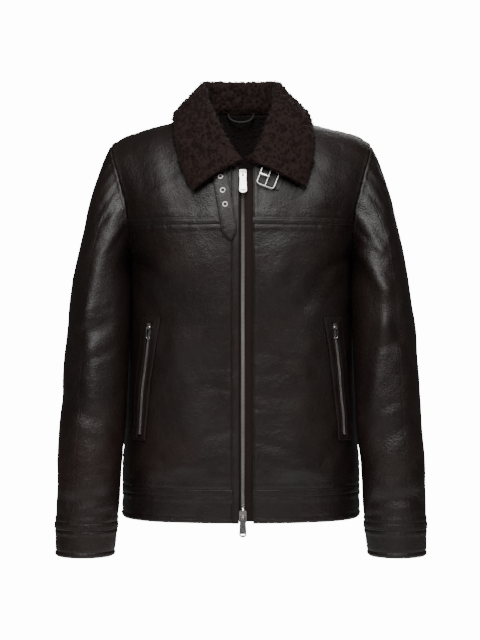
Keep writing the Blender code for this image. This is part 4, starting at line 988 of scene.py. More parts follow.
def leather_look(name, settings, painted_highlight=0.0):
    """Pebbled hide: two sizes of cell, fine crackle, soft wrinkles, a warm brown, and a dark brown
    painted as shade in the valleys between the pebbles.
    """
    look = Recipe(name)
    base = tuple(settings.leather_colour)
    cloudy = look.spread(look.noise(0.055, 4.0), 0.36, 0.66)
    warm = look.spread(look.noise(0.085, 2.0, 0.5, 0.6), 0.52, 0.70, 0.0, 0.75)
    # A share above 0 raises the light brown: a painted highlight, used for the edges
    shade = look.mixed(cloudy, tone(base, 0.74), tone(base, 1.30 + painted_highlight))
    tinted = look.mixed(warm, shade, tone((base[0] * 1.9, base[1] * 1.18, base[2] * 1.05)))
    grain = settings.grain_size
    pebbles = look.cells(grain)
    small = look.cells(grain * 0.52)
    crackle = look.noise(grain * 1.6, 5.0, 0.7)
    valley = look.spread(pebbles, 0.30, 0.72)
    # Painted shade: the colour darkens towards a dark brown in the valleys between the pebbles,
    # where the roughness below also rises
    colour = look.mixed(look.maths("MULTIPLY", valley, 0.55), tinted, tone(base, 0.42))
    look.bump(look.noise(0.0120, 4.0, 0.6, 0.5), 0.0013)
    look.bump(look.noise(0.0046, 3.0, 0.6, 0.8), 0.0007)
    look.bump(crackle, 0.00050)
    look.bump(look.maths("MULTIPLY", pebbles, -1.0), 0.00034)
    look.bump(look.maths("MULTIPLY", small, -1.0), 0.00012)
    rough = look.spread(look.noise(0.030, 4.0), 0.30, 0.72, 0.34, 0.50)
    rough = look.maths("ADD", rough, look.maths("MULTIPLY", valley, 0.10))
    return look.done(colour, rough, Specular_IOR_Level=0.45, Coat_Weight=0.06, Coat_Roughness=0.35)


def fleece_look(name, settings):
    """Sheared fleece: tufts a few millimetres across in the wool's browns, with painted shade
    darkening the hollows between them.
    """
    look = Recipe(name)
    base = tuple(settings.wool_colour)
    tufts = look.cells(0.0042)
    fine = look.noise(0.0013, 3.0)
    hollow_shade = look.spread(tufts, 0.25, 0.75)
    # Painted shade: the hollows between the tufts are darkened
    colour = look.mixed(hollow_shade, tone(base, 1.25), tone(base, 0.40))
    look.bump(look.maths("MULTIPLY", tufts, -1.0), 0.0022)
    look.bump(fine, 0.0006)
    return look.done(colour, 0.93, Specular_IOR_Level=0.25, Sheen_Weight=0.12, Sheen_Roughness=0.5)


def wool_look(name, settings):
    """Curled wool: strands along a fine stretched noise, with lighter and darker locks, and a
    painted highlight on the strands.
    """
    look = Recipe(name)
    base = tuple(settings.wool_colour)
    locks = look.spread(look.noise(0.011, 2.0), 0.34, 0.68)
    strand = look.noise(0.0007, 2.0)
    colour = look.mixed(locks, tone(base, 0.88), tone(base, 1.15))
    # Painted highlight: the strands' crests are mixed towards a much lighter brown
    colour = look.mixed(look.spread(strand, 0.45, 0.7, 0.0, 0.35), colour, tone(base, 2.3))
    look.bump(strand, 0.00025)
    return look.done(colour, 0.82, Specular_IOR_Level=0.16, Sheen_Weight=0.03, Sheen_Roughness=0.5)


def tape_look(name, settings):
    """Twilled tape: ribs along it and weft across it."""
    look = Recipe(name)
    base = tuple(settings.tape_colour)
    waves = []
    for way, size in (("X", 0.0011), ("Z", 0.0008)):
        inputs = {"Vector": look.place, "Scale": 0.31416 / size, "Distortion": 0.4}
        wave = look.node("ShaderNodeTexWave", inputs, bands_direction=way)
        waves.append(wave.outputs["Fac"])
    weave = look.maths("MULTIPLY", waves[0], waves[1])
    colour = look.mixed(weave, tone(base, 0.45), tone(base, 1.25))
    colour = look.mixed(look.spread(look.noise(0.012), 0.4, 0.7, 0.0, 0.5), colour, tone(base, 0.7))
    look.bump(weave, 0.00030)
    return look.done(colour, 0.86, Specular_IOR_Level=0.3)


def metal_look(name, colour, smoothness, tarnish):
    """Cast and tumbled metal: fine scratches, dark tarnish in its clouds and a soft ripple."""
    look = Recipe(name)
    clouds = look.spread(look.noise(0.0032, 4.0), 0.42, 0.70, 0.0, tarnish)
    shade = look.mixed(clouds, tone(colour), tone(colour, 0.32))
    scratch = look.noise(0.00035, 4.0, 0.7, 1.5)
    look.bump(scratch, 0.00003)
    look.bump(look.noise(0.0024, 2.0), 0.00009)
    rough = look.spread(scratch, 0.3, 0.7, smoothness, smoothness + 0.16)
    return look.done(shade, rough, Metallic=1.0)


def thread_look(name, settings):
    """Twisted thread: slanted plies along a fine noise."""
    look = Recipe(name)
    base = tuple(settings.thread_colour)
    ply = look.noise(0.00045, 2.0)
    colour = look.mixed(look.spread(ply, 0.4, 0.65), tone(base, 0.5), tone(base, 1.5))
    look.bump(ply, 0.00012)
    return look.done(colour, 0.62, Specular_IOR_Level=0.4)


def make_looks(settings):
    LOOKS["leather"] = leather_look("jacket leather", settings)
    # The leather of the edges and of the strips' backs is lightened: a painted highlight on the
    # edges
    LOOKS["edge"] = leather_look("leather edge", settings, 0.25)
    LOOKS["fleece"] = fleece_look("sheared fleece", settings)
    LOOKS["wool"] = wool_look("curled wool", settings)
    LOOKS["tape"] = tape_look("zip tape", settings)
    LOOKS["thread"] = thread_look("sewing thread", settings)
    LOOKS["nickel"] = metal_look("old nickel", (0.60, 0.545, 0.53), 0.34, 0.60)
    LOOKS["bright"] = metal_look("bright teeth", (0.64, 0.615, 0.60), 0.24, 0.45)
    # Painted light: the pocket teeth's metal is a lighter, rougher copy of the zip teeth's,
    # standing in for light in the welts' shade
    LOOKS["lightened"] = metal_look("brushed teeth", (0.88, 0.85, 0.83), 0.40, 0.20)
    LOOKS["polished"] = metal_look("polished metal", (0.70, 0.69, 0.68), 0.17, 0.45)


def wall_looks(kind="leather"):
    """Looks of a wall's face, back and edge."""
    if kind == "strip":
        return [LOOKS["leather"], LOOKS["edge"], LOOKS["edge"]]
    if kind == "tape":
        return [LOOKS["tape"]] * 3
    return [LOOKS["leather"], LOOKS["fleece"], LOOKS["edge"]]


# ---- body panels ----

# Each kind of edge: its flat part, its groove's depth and width, the swell beside it, its share of
# the pucker, how far in its row of stitches is and how deep that pulls the hide
EDGE_FORMS = {
    "sewn": (0.0, 0.0014, 0.0020, 0.0012, 1.3, 0.0, 0.0),
    "felled": (0.0, 0.0002, 0.0012, 0.0001, 0.25, 0.0, 0.0),
    "eased": (0.0, 0.0007, 0.0018, 0.0006, 1.0, 0.0, 0.0),
    "lapped": (0.0062, 0.0, 0.001, 0.0014, 1.3, 0.0, 0.0),
    "turned": (0.0, 0.0009, 0.0008, 0.0, 0.25, 0.0024, 0.00035),
    "faced": (0.0, 0.0012, 0.0012, 0.0006, 0.8, 0.0024, 0.00060),
    "hemmed": (0.0, 0.0024, 0.0017, 0.0009, 0.8, 0.0086, 0.00130),
}
# Kinds of the first and last edge across, then of the first and last up
PANEL_EDGES = {
    "front_lower": ("faced", "sewn", "lapped", "lapped"),
    "front_yoke": ("faced", "sewn", "lapped", "sewn"),
    "back_lower": ("sewn", "sewn", "lapped", "lapped"),
    "back_yoke": ("sewn", "sewn", "lapped", "sewn"),
    "hem_front": ("faced", "sewn", "hemmed", "lapped"),
    "hem_back": ("sewn", "sewn", "hemmed", "lapped"),
    "strip": ("plain", "plain", "turned", "turned"),
    "front_edge": ("turned", "turned", "plain", "plain"),
    "sleeve": ("felled", "felled", "eased", "lapped"),
    "cuff": ("plain", "plain", "lapped", "hemmed"),
    "tape": ("plain", "plain", "plain", "plain"),
}


def panel(name, form, x, z, front, thick=WALL, lift=0.0, ring=False, kind="leather"):
    """Wall of the body over a grid of places: its face is at lift, its seams as its form says."""
    base, normals = torso(x, z, front, lift)
    outer = base + normals * relief(base, PANEL_EDGES[form])[..., None]
    return shell(name, outer, base - normals * thick, wall_looks(kind), ring)


def lower_rows(yoke_z, front, rows_below=92, rows_above=36):
    """Heights at the middle, and the edge's ring angle and height, for each row of a panel."""
    strip_top = HEM_SEAM_Z + STRIP_HIGH / 2
    low = np.linspace(strip_top, SIDE_BLOCK_Z, rows_below - 1)
    low = np.concatenate([[HEM_SEAM_Z + SEAM_GAP / 2], low])
    high = np.linspace(SIDE_BLOCK_Z, yoke_z - SEAM_GAP / 2, rows_above)[1:]
    share = np.linspace(0, 1, rows_above)[1:]
    seam_share = (rows_above - 1 - LOWER_STEPS) / (rows_above - 1)
    turn = np.concatenate([np.full(rows_above - 2 - LOWER_STEPS, 180), lower_turns(front)[::-1]])
    turn[-1] = armhole_turn(yoke_z - SEAM_GAP / 2)
    angle, hole_z = armhole(turn, front)
    seam_z = SIDE_BLOCK_Z + (PIT_Z - SIDE_BLOCK_Z) * np.clip(share / seam_share, 0, 1)
    on_hole = share > seam_share + 1e-9
    edge_z = np.where(on_hole, hole_z, seam_z)
    edge_angle = np.where(on_hole, angle, 90.0)
    edge_angle = np.concatenate([np.full(rows_below, 90.0), edge_angle])
    return np.concatenate([low, high]), edge_angle, np.concatenate([low, edge_z])


def front_edge(side):
    return RIGHT_FRONT_X + SEAM_GAP / 2 if side == "right" else LEFT_FRONT_X


def make_front_lower(side):
    middle, edge_angle, edge_z = lower_rows(FRONT_YOKE_Z, True)
    share = crowded(FRONT_COLUMNS)[:, None]
    z = middle + (edge_z - middle) * soft_step(share)
    first = angle_at(front_edge(side), z)
    x = across_at(first + (edge_angle - first) * share, z)
    panel(f"front_lower_{side}", "front_lower", x * SIDES[side], z, True)


def make_back_lower():
    middle, edge_angle, edge_z = lower_rows(BACK_YOKE_Z, False)
    share = 2 * crowded(BACK_COLUMNS)[:, None] - 1
    z = middle + (edge_z - middle) * soft_step(np.abs(share))
    x = across_at(edge_angle * np.abs(share), z) * np.sign(share)
    panel("back_lower", "back_lower", x, z, False)


def front_neckline(share, side):
    """Quarter ellipse from the front edge (0) to the shoulder seam's inner end (1)."""
    quarter = share * math.pi / 2
    first = front_edge(side)
    x = first + (NECK_SIDE_X - first) * np.sin(quarter)
    top = float(ridge_z(NECK_SIDE_X))
    return x, NECK_FRONT_Z + (top - NECK_FRONT_Z) * (1 - np.cos(quarter))


def back_neckline(x):
    top = float(ridge_z(NECK_SIDE_X))
    return BACK_NECK_Z + (top - BACK_NECK_Z) * (np.abs(x) / NECK_SIDE_X) ** 4


def height_of(climb, x):
    return PIT_Z + (ridge_z(x) - PIT_Z) * climb


def rising(climb):
    """Even spacing near the shoulder ridge, where the surface turns over."""
    return 1 - np.sqrt(1 - np.clip(climb, 0, 1))


def risen(level):
    return 1 - (1 - level) ** 2


def make_front_yoke(side, edge_rows=11, neck_rows=31):
    """Rows join the front edge and the neckline to the armhole at even steps up the shoulder."""
    yoke_z = FRONT_YOKE_Z + SEAM_GAP / 2
    edge_z = np.linspace(yoke_z, NECK_FRONT_Z, edge_rows)
    neck_x, neck_z = front_neckline(np.linspace(0, 1, neck_rows)[1:], side)
    inner_x = np.concatenate([np.full(edge_rows, front_edge(side)), neck_x])
    inner_z = np.concatenate([edge_z, neck_z])
    turn = yoke_turns(True)[::-1]
    turn[0] = armhole_turn(yoke_z)
    angle, outer_z = armhole(turn, True)
    outer_x = across_at(angle, outer_z)
    share = crowded(FRONT_COLUMNS)[:, None]
    start = angle_at(front_edge(side), yoke_z)
    bottom = across_at(start + (angle[0] - start) * share, yoke_z)
    spread = (bottom - bottom[0]) / (bottom[-1] - bottom[0])
    inner_level = rising(climbed(inner_x, inner_z))
    outer_level = rising(climbed(outer_x, outer_z))
    x = inner_x + (outer_x - inner_x) * spread
    z = height_of(risen(inner_level + (outer_level - inner_level) * spread), x)
    z[:, 0] = yoke_z
    panel(f"front_yoke_{side}", "front_yoke", x * SIDES[side], z, True)


def make_back_yoke():
    yoke_z = BACK_YOKE_Z + SEAM_GAP / 2
    turn = yoke_turns(False)[::-1]
    turn[0] = armhole_turn(yoke_z)
    angle, outer_z = armhole(turn, False)
    outer_x = across_at(angle, outer_z)
    across = 2 * crowded(BACK_COLUMNS)[:, None] - 1
    neck_share = NECK_SIDE_X / SHOULDER_X
    spread = np.sign(across) * np.where(
        np.abs(across) < 0.5,
        np.sin(np.abs(across) * math.pi) * neck_share,
        neck_share + (np.abs(across) - 0.5) / 0.5 * (1 - neck_share),
    )
    bottom_share = np.abs(across_at(angle[0] * np.abs(across), yoke_z) / outer_x[0])
    up = np.linspace(0, 1, len(turn))
    share = np.sign(across) * (bottom_share * (1 - up) + np.abs(spread) * up)
    x = share * outer_x
    top_x = np.abs(spread) * SHOULDER_X
    top = np.where(top_x < NECK_SIDE_X - 1e-6, climbed(top_x, back_neckline(top_x)), 1.0)
    bottom = rising(climbed(x[:, :1], yoke_z))
    edge_level = rising(climbed(outer_x, outer_z))
    along = (edge_level - edge_level[0]) / (edge_level[-1] - edge_level[0])
    z = height_of(risen(bottom + (rising(top) - bottom) * along), x)
    z[:, 0] = yoke_z
    panel("back_yoke", "back_yoke", x, z, False)


def band(name, form, x0, x1, heights, front, columns, thick=WALL, lift=0.0, kind="leather"):
    """Horizontal band; x0 and x1 may be arrays, one for each of its heights."""
    z = np.asarray(heights, float)
    start = np.sign(x0) * angle_at(x0, z)
    end = np.sign(x1) * angle_at(x1, z)
    angle = start + (end - start) * crowded(columns)[:, None]
    x = np.sign(angle) * across_at(np.abs(angle), z)
    panel(name, form, x, np.broadcast_to(z, x.shape), front, thick, lift, kind=kind)


STRIP = {"thick": STRIP_THICK, "lift": STRIP_LIFT + STRIP_THICK, "kind": "strip"}


def make_hem():
    low, high = HEM_Z, HEM_SEAM_Z - SEAM_GAP / 2
    heights = low + (high - low) * crowded(17)
    strip = HEM_SEAM_Z + STRIP_HIGH * np.linspace(-0.5, 0.5, STRIP_ROWS)
    for side, sign in SIDES.items():
        first = sign * front_edge(side)
        band(f"hem_front_{side}", "hem_front", first, sign, heights, True, FRONT_COLUMNS)
        name = f"hem_strip_front_{side}"
        band(name, "strip", first, sign, strip, True, FRONT_COLUMNS, **STRIP)
    band("hem_back", "hem_back", -1.0, 1.0, heights, False, BACK_COLUMNS)
    band("hem_strip_back", "strip", -1.0, 1.0, strip, False, BACK_COLUMNS, **STRIP)


def make_yoke_strips():
    for front, yoke_z in ((True, FRONT_YOKE_Z), (False, BACK_YOKE_Z)):
        z = yoke_z + STRIP_HIGH * np.linspace(-0.5, 0.5, STRIP_ROWS)
        angle, _ = armhole(armhole_turn(z), front)
        end = across_at(angle, z) - STRIP_SHORT
        if not front:
            band("yoke_strip_back", "strip", -end, end, z, front, BACK_COLUMNS, **STRIP)
            continue
        for side, sign in SIDES.items():
            first = sign * (front_edge(side) + SEAM_GAP)
            name = f"yoke_strip_front_{side}"
            band(name, "strip", first, sign * end, z, front, FRONT_COLUMNS, **STRIP)


def make_front_edge():
    z = np.linspace(HEM_Z, NECK_FRONT_Z, 190)
    x = np.linspace(-RIGHT_FRONT_X + SEAM_GAP / 2, -STRIP_EDGE_X, STRIP_ROWS)[:, None]
    x, z = np.broadcast_arrays(x, z)
    panel("front_edge_right", "front_edge", x, z, True, WALL, 0.0006)


# ---- sleeves ----


def make_sleeve(side, half):
    """Cap and tube of one half; the wall's inner edge at the armhole keeps out of the body."""
    run = np.concatenate([np.linspace(0, 1, 56) ** 1.15, np.linspace(1, 2, 104)[1:]])
    lines = sleeve_turns()[half]
    turn = np.interp(crowded(len(lines)), np.linspace(0, 1, len(lines)), lines)[:, None]
    turn[0] += SLEEVE_SEAM_HALF
    turn[-1] -= SLEEVE_SEAM_HALF
    base, normals = sleeve(turn, run, side)
    _, body_normals = sleeve_start(turn[:, 0])
    ahead, _ = sleeve_start(turn[:, 0] + 0.5)
    behind, _ = sleeve_start(turn[:, 0] - 0.5)
    outward = unit(np.cross(body_normals, ahead - behind)) * mirrored(side)
    back_in = np.clip((normals[:, 0] * outward).sum(axis=-1, keepdims=True), 0, None)
    normals[:, 0] = unit(normals[:, 0] - back_in * outward)
    outer = base + normals * relief(base, PANEL_EDGES["sleeve"])[..., None]
    shell(f"sleeve_{half}_{side}", outer, base - normals * WALL, wall_looks())


def make_cuff(side):
    halves = sleeve_turns()
    turn = np.concatenate([halves["top"], halves["under"][1:-1]])[:, None]
    mirror = mirrored(side)
    top = CUFF_SEAM_Z - SEAM_GAP
    heights = top + (CUFF_Z - top) * crowded(18)
    bare = sleeve_section(turn, heights)
    flat = bare - sleeve_section(turn + 180, heights)
    normals = unit(flat * np.array([1.0, 1.0, 0.0])) * mirror
    base = bare * mirror
    base = base + normals * hide_waves(base)[..., None]
    outer = base + normals * relief(base, PANEL_EDGES["cuff"])[..., None]
    shell(f"cuff_{side}", outer, base - normals * WALL, wall_looks(), ring=True)
    high = CUFF_SEAM_Z + STRIP_HIGH * np.linspace(-0.5, 0.5, STRIP_ROWS)
    run = 1 + (high - SLEEVE["height"][0]) / (CUFF_SEAM_Z - SLEEVE["height"][0])
    base, normals = sleeve(turn, run, side, STRIP_LIFT + STRIP_THICK + 0.0002)
    outer = base + normals * relief(base, PANEL_EDGES["strip"])[..., None]
    shell(f"cuff_strip_{side}", outer, base - normals * STRIP_THICK, wall_looks("strip"), ring=True)


# ---- collar ----

COLLAR_CLEAR = 0.0045  # the fall's edge off the body, and the room more for the latch
LATCH_ROOM = 0.0045
LATCH_HALF_X = 0.072
SHOULDER_TURN = 88  # the fall lies on the front past this turn, and closer round about it
FALL_BOW = 0.16  # the fall bows out by this share of its length, and less over the shoulder
SHOULDER_BOW = 0.10
THIN_AT_SEAM = 0.68  # shares of the wool's height that are missing at the seam and at the edge
THIN_AT_EDGE = 0.38
RIM_CELLS = 3  # cells of the wool's grid along its free edges that count as its rim
RIM_SHARE = 3.4
RIM_REACH = 0.0019
RIM_DROP = 0.0050
# Lumps of the wool's locks: wavelengths, heights and directions as for the hide
LOCKS = table("wavelength high way_x way_y way_z start", (
    (0.023, 0.00055, 0.8, 0.3, 0.5, 0.2),
    (0.015, 0.0005, -0.4, 0.5, 0.8, 1.7),
    (0.0105, 0.00042, 0.7, -0.6, 0.35, 3.9),
    (0.0082, 0.00036, -0.6, -0.4, 0.7, 5.1),
))


def collar_lift(x):
    """Room under the fall for the strap and the buckle, less towards its point."""
    return COLLAR_CLEAR + LATCH_ROOM * (1 - soft_step((np.abs(x) - LATCH_HALF_X) / 0.030))


def collar_station(turn, side):
    """Seam, roll and fall's edge of the collar at one place round the neck."""
    if turn <= 90:
        x = NECK_SIDE_X * math.sin(math.radians(turn))
        place, _ = torso(x, back_neckline(x), False)
    else:
        x, z = front_neckline(2 - turn / 90.0, side)
        place, _ = torso(x, z, True)
    columns = (f"{side}_x", "y", "z")
    roll = np.array([float(column_at(ROLL, column, turn)) for column in columns])
    seam = place + COLLAR_SEAT * unit(roll - place)
    fall = FALL[side]
    x = float(column_at(fall, "x", turn))
    z = min(float(column_at(fall, "z", turn)), float(ridge_z(x)))
    over_shoulder = math.exp(-(((turn - SHOULDER_TURN) / 20) ** 2))
    lift = collar_lift(x) * (1 - 0.15 * over_shoulder)
    edge, _ = torso(x, z, turn > SHOULDER_TURN, lift)
    mirror = mirrored(side)
    return seam * mirror, roll * mirror, edge * mirror


def collar_path(seam, roll, edge, out, radius):
    """Leather side of the collar: up the stand, round the roll, down the fall."""
    fall_way = unit(edge - roll)
    stand_way = unit(roll - seam)
    apart = unit(fall_way - (fall_way @ stand_way) * stand_way)
    stand_top = roll - apart * radius
    points = [seam + (stand_top - seam) * share for share in (0.0, 0.45, 1.0)]
    for degrees in (35.0, 75.0, 115.0, 150.0):
        turn = math.radians(degrees)
        swing = -apart * math.cos(turn) + stand_way * math.sin(turn)
        points.append(roll + swing * radius)
    start = roll + (apart * 0.94 - stand_way * 0.2) * radius
    bulge = (start + edge) / 2 + out * np.linalg.norm(edge - start)
    for share in (0.14, 0.32, 0.52, 0.72, 0.88, 1.0):
        points.append(start * (1 - share) ** 2 + bulge * 2 * share * (1 - share) + edge * share**2)
    return np.array(points)


def lumps(points):
    return bent_sines(points, LOCKS, 700.0)


def make_collar(settings):
    """Collar's leather side from its paths, its wool side moved out from it, and its curls."""
    half = np.linspace(0, 180, COLLAR_STATIONS)
    rows, shares = [], []
    for side in ("right", "left"):
        for turn in half[::-1] if side == "right" else half[1:]:
            seam, roll, edge = collar_station(turn, side)
            share = soft_step((turn - 40) / 90)
            up_and_back = np.array([0.25 * SIDES[side] * math.sin(math.radians(turn)), 0.75, 0.45])
            forward = np.array([0.30 * SIDES[side], -0.85, 0.25])
            out = unit(up_and_back * (1 - share) + forward * share)
            bow = FALL_BOW - SHOULDER_BOW * math.exp(-(((turn - 80) / 22) ** 2))
            left_over = 1 - (1 - COLLAR_END) * float(soft_step((turn - 140) / 40))
            path = collar_path(seam, roll, edge, out * bow, COLLAR_ROLL * left_over)
            run = np.concatenate([[0], np.linalg.norm(np.diff(path, axis=0), axis=1).cumsum()])
            at = np.linspace(0, run[-1], COLLAR_COLUMNS)
            rows.append(np.stack([smooth(at, run, column) for column in path.T], axis=-1))
            place = at / run[-1]
            thick = 1 - THIN_AT_SEAM * np.exp(-((place / 0.045) ** 2))
            thick = thick * (1 - THIN_AT_EDGE * np.clip((place - 0.90) / 0.10, 0, 1) ** 2)
            shares.append(left_over * thick)
    leather = np.array(rows)
    normals = unit(np.cross(np.gradient(leather, axis=0), np.gradient(leather, axis=1)))
    if normals[len(rows) // 2, -1, 1] < 0:
        normals = -normals
    share = np.array(shares)
    wool = leather + normals * (COLLAR_THICK * share)[..., None]
    wool = wool + normals * (lumps(wool) * share)[..., None]
    shell("collar", wool, leather, [LOOKS["wool"], LOOKS["leather"], LOOKS["wool"]])
    make_curls(wool, normals, settings)


def curl_shape(rings=8, sides=3):
    """Spiral of radius 1 that shrinks as it turns, rises in its middle and dives back in."""
    t = np.linspace(0, 1, rings)[:, None]
    around = circle(sides)
    angle = 2 * math.pi * 1.18 * t
    strand = 0.23 * (0.55 + 0.45 * np.sin(math.pi * np.clip(t, 0.02, 0.98)))
    radius = 1 - 0.52 * t + strand * np.cos(around)
    height = 0.34 + 0.50 * np.sin(math.pi * t) - 0.25 * t + strand * np.sin(around)
    points = np.stack([radius * np.cos(angle), radius * np.sin(angle), height], axis=-1)
    return points.reshape(-1, 3)


def make_curls(wool, normals, settings):
    """Curls strewn over the wool side, as many to each cell as its area asks for.

    The rim's cells get more, and curls there stand out past the edge as the wool lumps."""
    rng = np.random.default_rng(11)
    across = wool[1:, :-1] - wool[:-1, :-1]
    along = wool[:-1, 1:] - wool[:-1, :-1]
    area = np.linalg.norm(np.cross(across, along), axis=-1)
    rim = np.ones(area.shape)
    rim[:, -RIM_CELLS:] = RIM_SHARE
    rim[:RIM_CELLS] = rim[-RIM_CELLS:] = RIM_SHARE
    area = (area * rim).ravel()
    count = settings.curl_count
    cell = rng.choice(area.size, count, p=area / area.sum())
    row, column = np.unravel_index(cell, across.shape[:2])
    u, v = rng.random((2, count, 1))
    centres = wool[row, column] + u * across[row, column] + v * along[row, column]
    ahead = unit(along[row, column]) * (column >= across.shape[1] - RIM_CELLS)[:, None]
    last, first = row >= across.shape[0] - RIM_CELLS, row < RIM_CELLS
    aside = unit(across[row, column]) * (last.astype(float) - first)[:, None]
    beyond = unit(ahead + aside)
    at_rim = np.linalg.norm(ahead + aside, axis=1, keepdims=True) > 0
    drop = at_rim * rng.uniform(0.0, RIM_DROP, (count, 1))
    reach = np.clip(RIM_REACH + 2.8 * lumps(centres), -0.0006, 0.0050)[:, None]
    centres = centres + reach * beyond * at_rim - drop * normals[row, column]
    outward = normals[row, column] * np.where(at_rim, 0.45, 1.0) + beyond * at_rim
    outward = unit(outward + rng.normal(0, 0.22, (count, 3)))
    first = unit(np.cross(outward, rng.normal(0, 1, (count, 3))))
    second = np.cross(outward, first)
    size = settings.curl_size / 2 * rng.uniform(0.62, 1.28, (count, 1))
    size = size * np.where(at_rim, 1.15, 1.0)
    stretch = rng.uniform(0.75, 1.25, (count, 1))
    axes = np.stack([first * size * stretch, second * size, outward * size], axis=1)
    shape = curl_shape()
    skin, caps = tube_faces(len(shape) // 3, 3)
    scattered("collar_wool", shape, skin, centres, axes, [LOOKS["wool"]], caps)


# ---- throat strap and buckle ----

BUCKLE_CORNER = 0.0048
BUCKLE_BAR = 0.0012  # radius of the bar that the prong turns on


def local_frame(x, z, lift, lean=0.0):
    """Matrix at a place on the front: local x across, local y inwards, local z up the surface.

    lean turns it about the outward direction, clockwise as seen from the front."""
    point, normal = torso(np.array(x), np.array(z), True, lift)
    inward = -Vector(normal)
    up = Vector((math.sin(lean), 0.0, math.cos(lean)))
    across = inward.cross(up).normalized()
    up = across.cross(inward)
    matrix = Matrix((across, inward, up)).transposed().to_4x4()
    matrix.translation = Vector(point)
    return matrix


def closed_faces(rows, columns):
    """Faces of a grid that joins up in both directions."""
    number = np.arange(rows * columns).reshape(rows, columns)
    right = np.roll(number, -1, axis=0)
    return square_faces(number, right, np.roll(right, -1, axis=1), np.roll(number, -1, axis=1))


def facing_out(points, faces):
    a, b, c, d = (points[faces[:, corner]] for corner in range(4))
    volume = (a * np.cross(b, c)).sum() + (a * np.cross(c, d)).sum()
    return faces if volume > 0 else faces[:, ::-1]


def moved(points, place):
    matrix = np.array(place)
    return np.asarray(points).reshape(-1, 3) @ matrix[:3, :3].T + matrix[:3, 3]


def make_strap():
    """Strap's outline by its rows, its holes cut through it, and a turned eyelet in each hole."""
    along = np.concatenate([np.linspace(0, 0.8, 44), np.linspace(0.8, 1.0, 26)[1:]])
    stations = np.array([0.0, 0.8, 0.87, 0.93, 0.97, 1.0])
    half = STRAP_WIDE / 2 * smooth(along, stations, np.array([1.0, 1.0, 0.95, 0.68, 0.36, 0.10]))
    share = 2 * crowded(21)[:, None] - 1
    lean = (STRAP_TIP[0] - STRAP_TOP[0]) / (STRAP_TIP[1] - STRAP_TOP[1])
    x = STRAP_TOP[0] + (STRAP_TIP[0] - STRAP_TOP[0]) * along + share * half
    z = STRAP_TOP[1] + (STRAP_TIP[1] - STRAP_TOP[1]) * along - lean * share * half
    lift = STRAP_LIFT + STRAP_THICK
    strap = panel("throat_strap", "front_edge", x, z, True, STRAP_THICK, lift, kind="strip")
    for number, height in enumerate(EYELETS_Z, 1):
        down = (height - STRAP_TOP[1]) / (STRAP_TIP[1] - STRAP_TOP[1])
        centre = STRAP_TOP[0] + (STRAP_TIP[0] - STRAP_TOP[0]) * down
        place = local_frame(centre, height, lift)
        cut_hole(strap, place, EYELET_HOLE + 0.0009)
        make_eyelet(f"eyelet_{number}", place)


def cut_hole(target, place, radius, long=0.012, sides=40):
    """Takes a round pin that stands along the local y axis out of the target's mesh."""
    around = circle(sides)
    ring = np.stack([radius * np.cos(around), np.zeros(sides), radius * np.sin(around)], axis=-1)
    ends = np.array([0.0, long / 2, 0.0])
    points = moved(np.concatenate([ring - ends, ring + ends]), place)
    skin, caps = tube_faces(2, sides)
    mesh = bpy.data.meshes.new("hole_cutter")
    mesh.from_pydata(points.tolist(), [], skin.tolist() + caps[0].tolist() + caps[1].tolist())
    cutter = bpy.data.objects.new("hole_cutter", mesh)
    bpy.context.scene.collection.objects.link(cutter)
    cut = target.modifiers.new("hole", "BOOLEAN")
    cut.operation = "DIFFERENCE"
    cut.object = cutter
    drawn = target.evaluated_get(bpy.context.evaluated_depsgraph_get())
    target.data = bpy.data.meshes.new_from_object(drawn)
    target.modifiers.clear()
    bpy.data.objects.remove(cutter, do_unlink=True)


def make_eyelet(name, place, segments=48):
    """Rolled rim of an eyelet, turned about the local y axis, with its tube through the strap."""
    bend = np.linspace(0, math.pi, 9)
    middle = (EYELET_HOLE + EYELET_RADIUS) / 2
    rim = np.stack([
        middle - (EYELET_RADIUS - EYELET_HOLE) / 2 * np.cos(bend),
        -0.0003 - 0.0010 * np.sin(bend) ** 0.8,
    ], axis=-1)
    tube = EYELET_HOLE + 0.0006
    ends = np.array([[tube, -0.0003], [tube, STRAP_THICK], [EYELET_HOLE, STRAP_THICK]])
    outline = np.concatenate([rim, ends])
    around = circle(segments)[:, None]
    radius, depth = outline[:, 0], outline[:, 1]
    flat = [np.cos(around) * radius, np.broadcast_to(depth, (segments, len(outline)))]
    points = np.stack([*flat, np.sin(around) * radius], axis=-1)
    points = moved(points, place)
    faces = facing_out(points, closed_faces(segments, len(outline)))
    mesh_object(name, points, [faces], [LOOKS["nickel"]])


def rounded_outline(half_x, half_z, radius, corner_points=12):
    """Rectangle with round corners in the local x-z plane, anticlockwise."""
    turn = np.radians(np.arange(4)[:, None] * 90 + np.linspace(0, 90, corner_points))
    sign_x = np.array([1, -1, -1, 1])[:, None]
    sign_z = np.array([1, 1, -1, -1])[:, None]
    x = sign_x * (half_x - radius) + radius * np.cos(turn)
    z = sign_z * (half_z - radius) + radius * np.sin(turn)
    return np.stack([x.ravel(), np.zeros(x.size), z.ravel()], axis=-1)


def wire_points(path, radius, sides):
    ahead = np.roll(path, -1, axis=0) - np.roll(path, 1, axis=0)
    outward = unit(np.stack([-ahead[:, 2], np.zeros(len(path)), ahead[:, 0]], axis=-1))
    around = circle(sides)
    aside = outward[:, None] * np.cos(around)[:, None] * radius
    return path[:, None] + aside + np.array([0.0, 1.0, 0.0]) * np.sin(around)[:, None] * radius


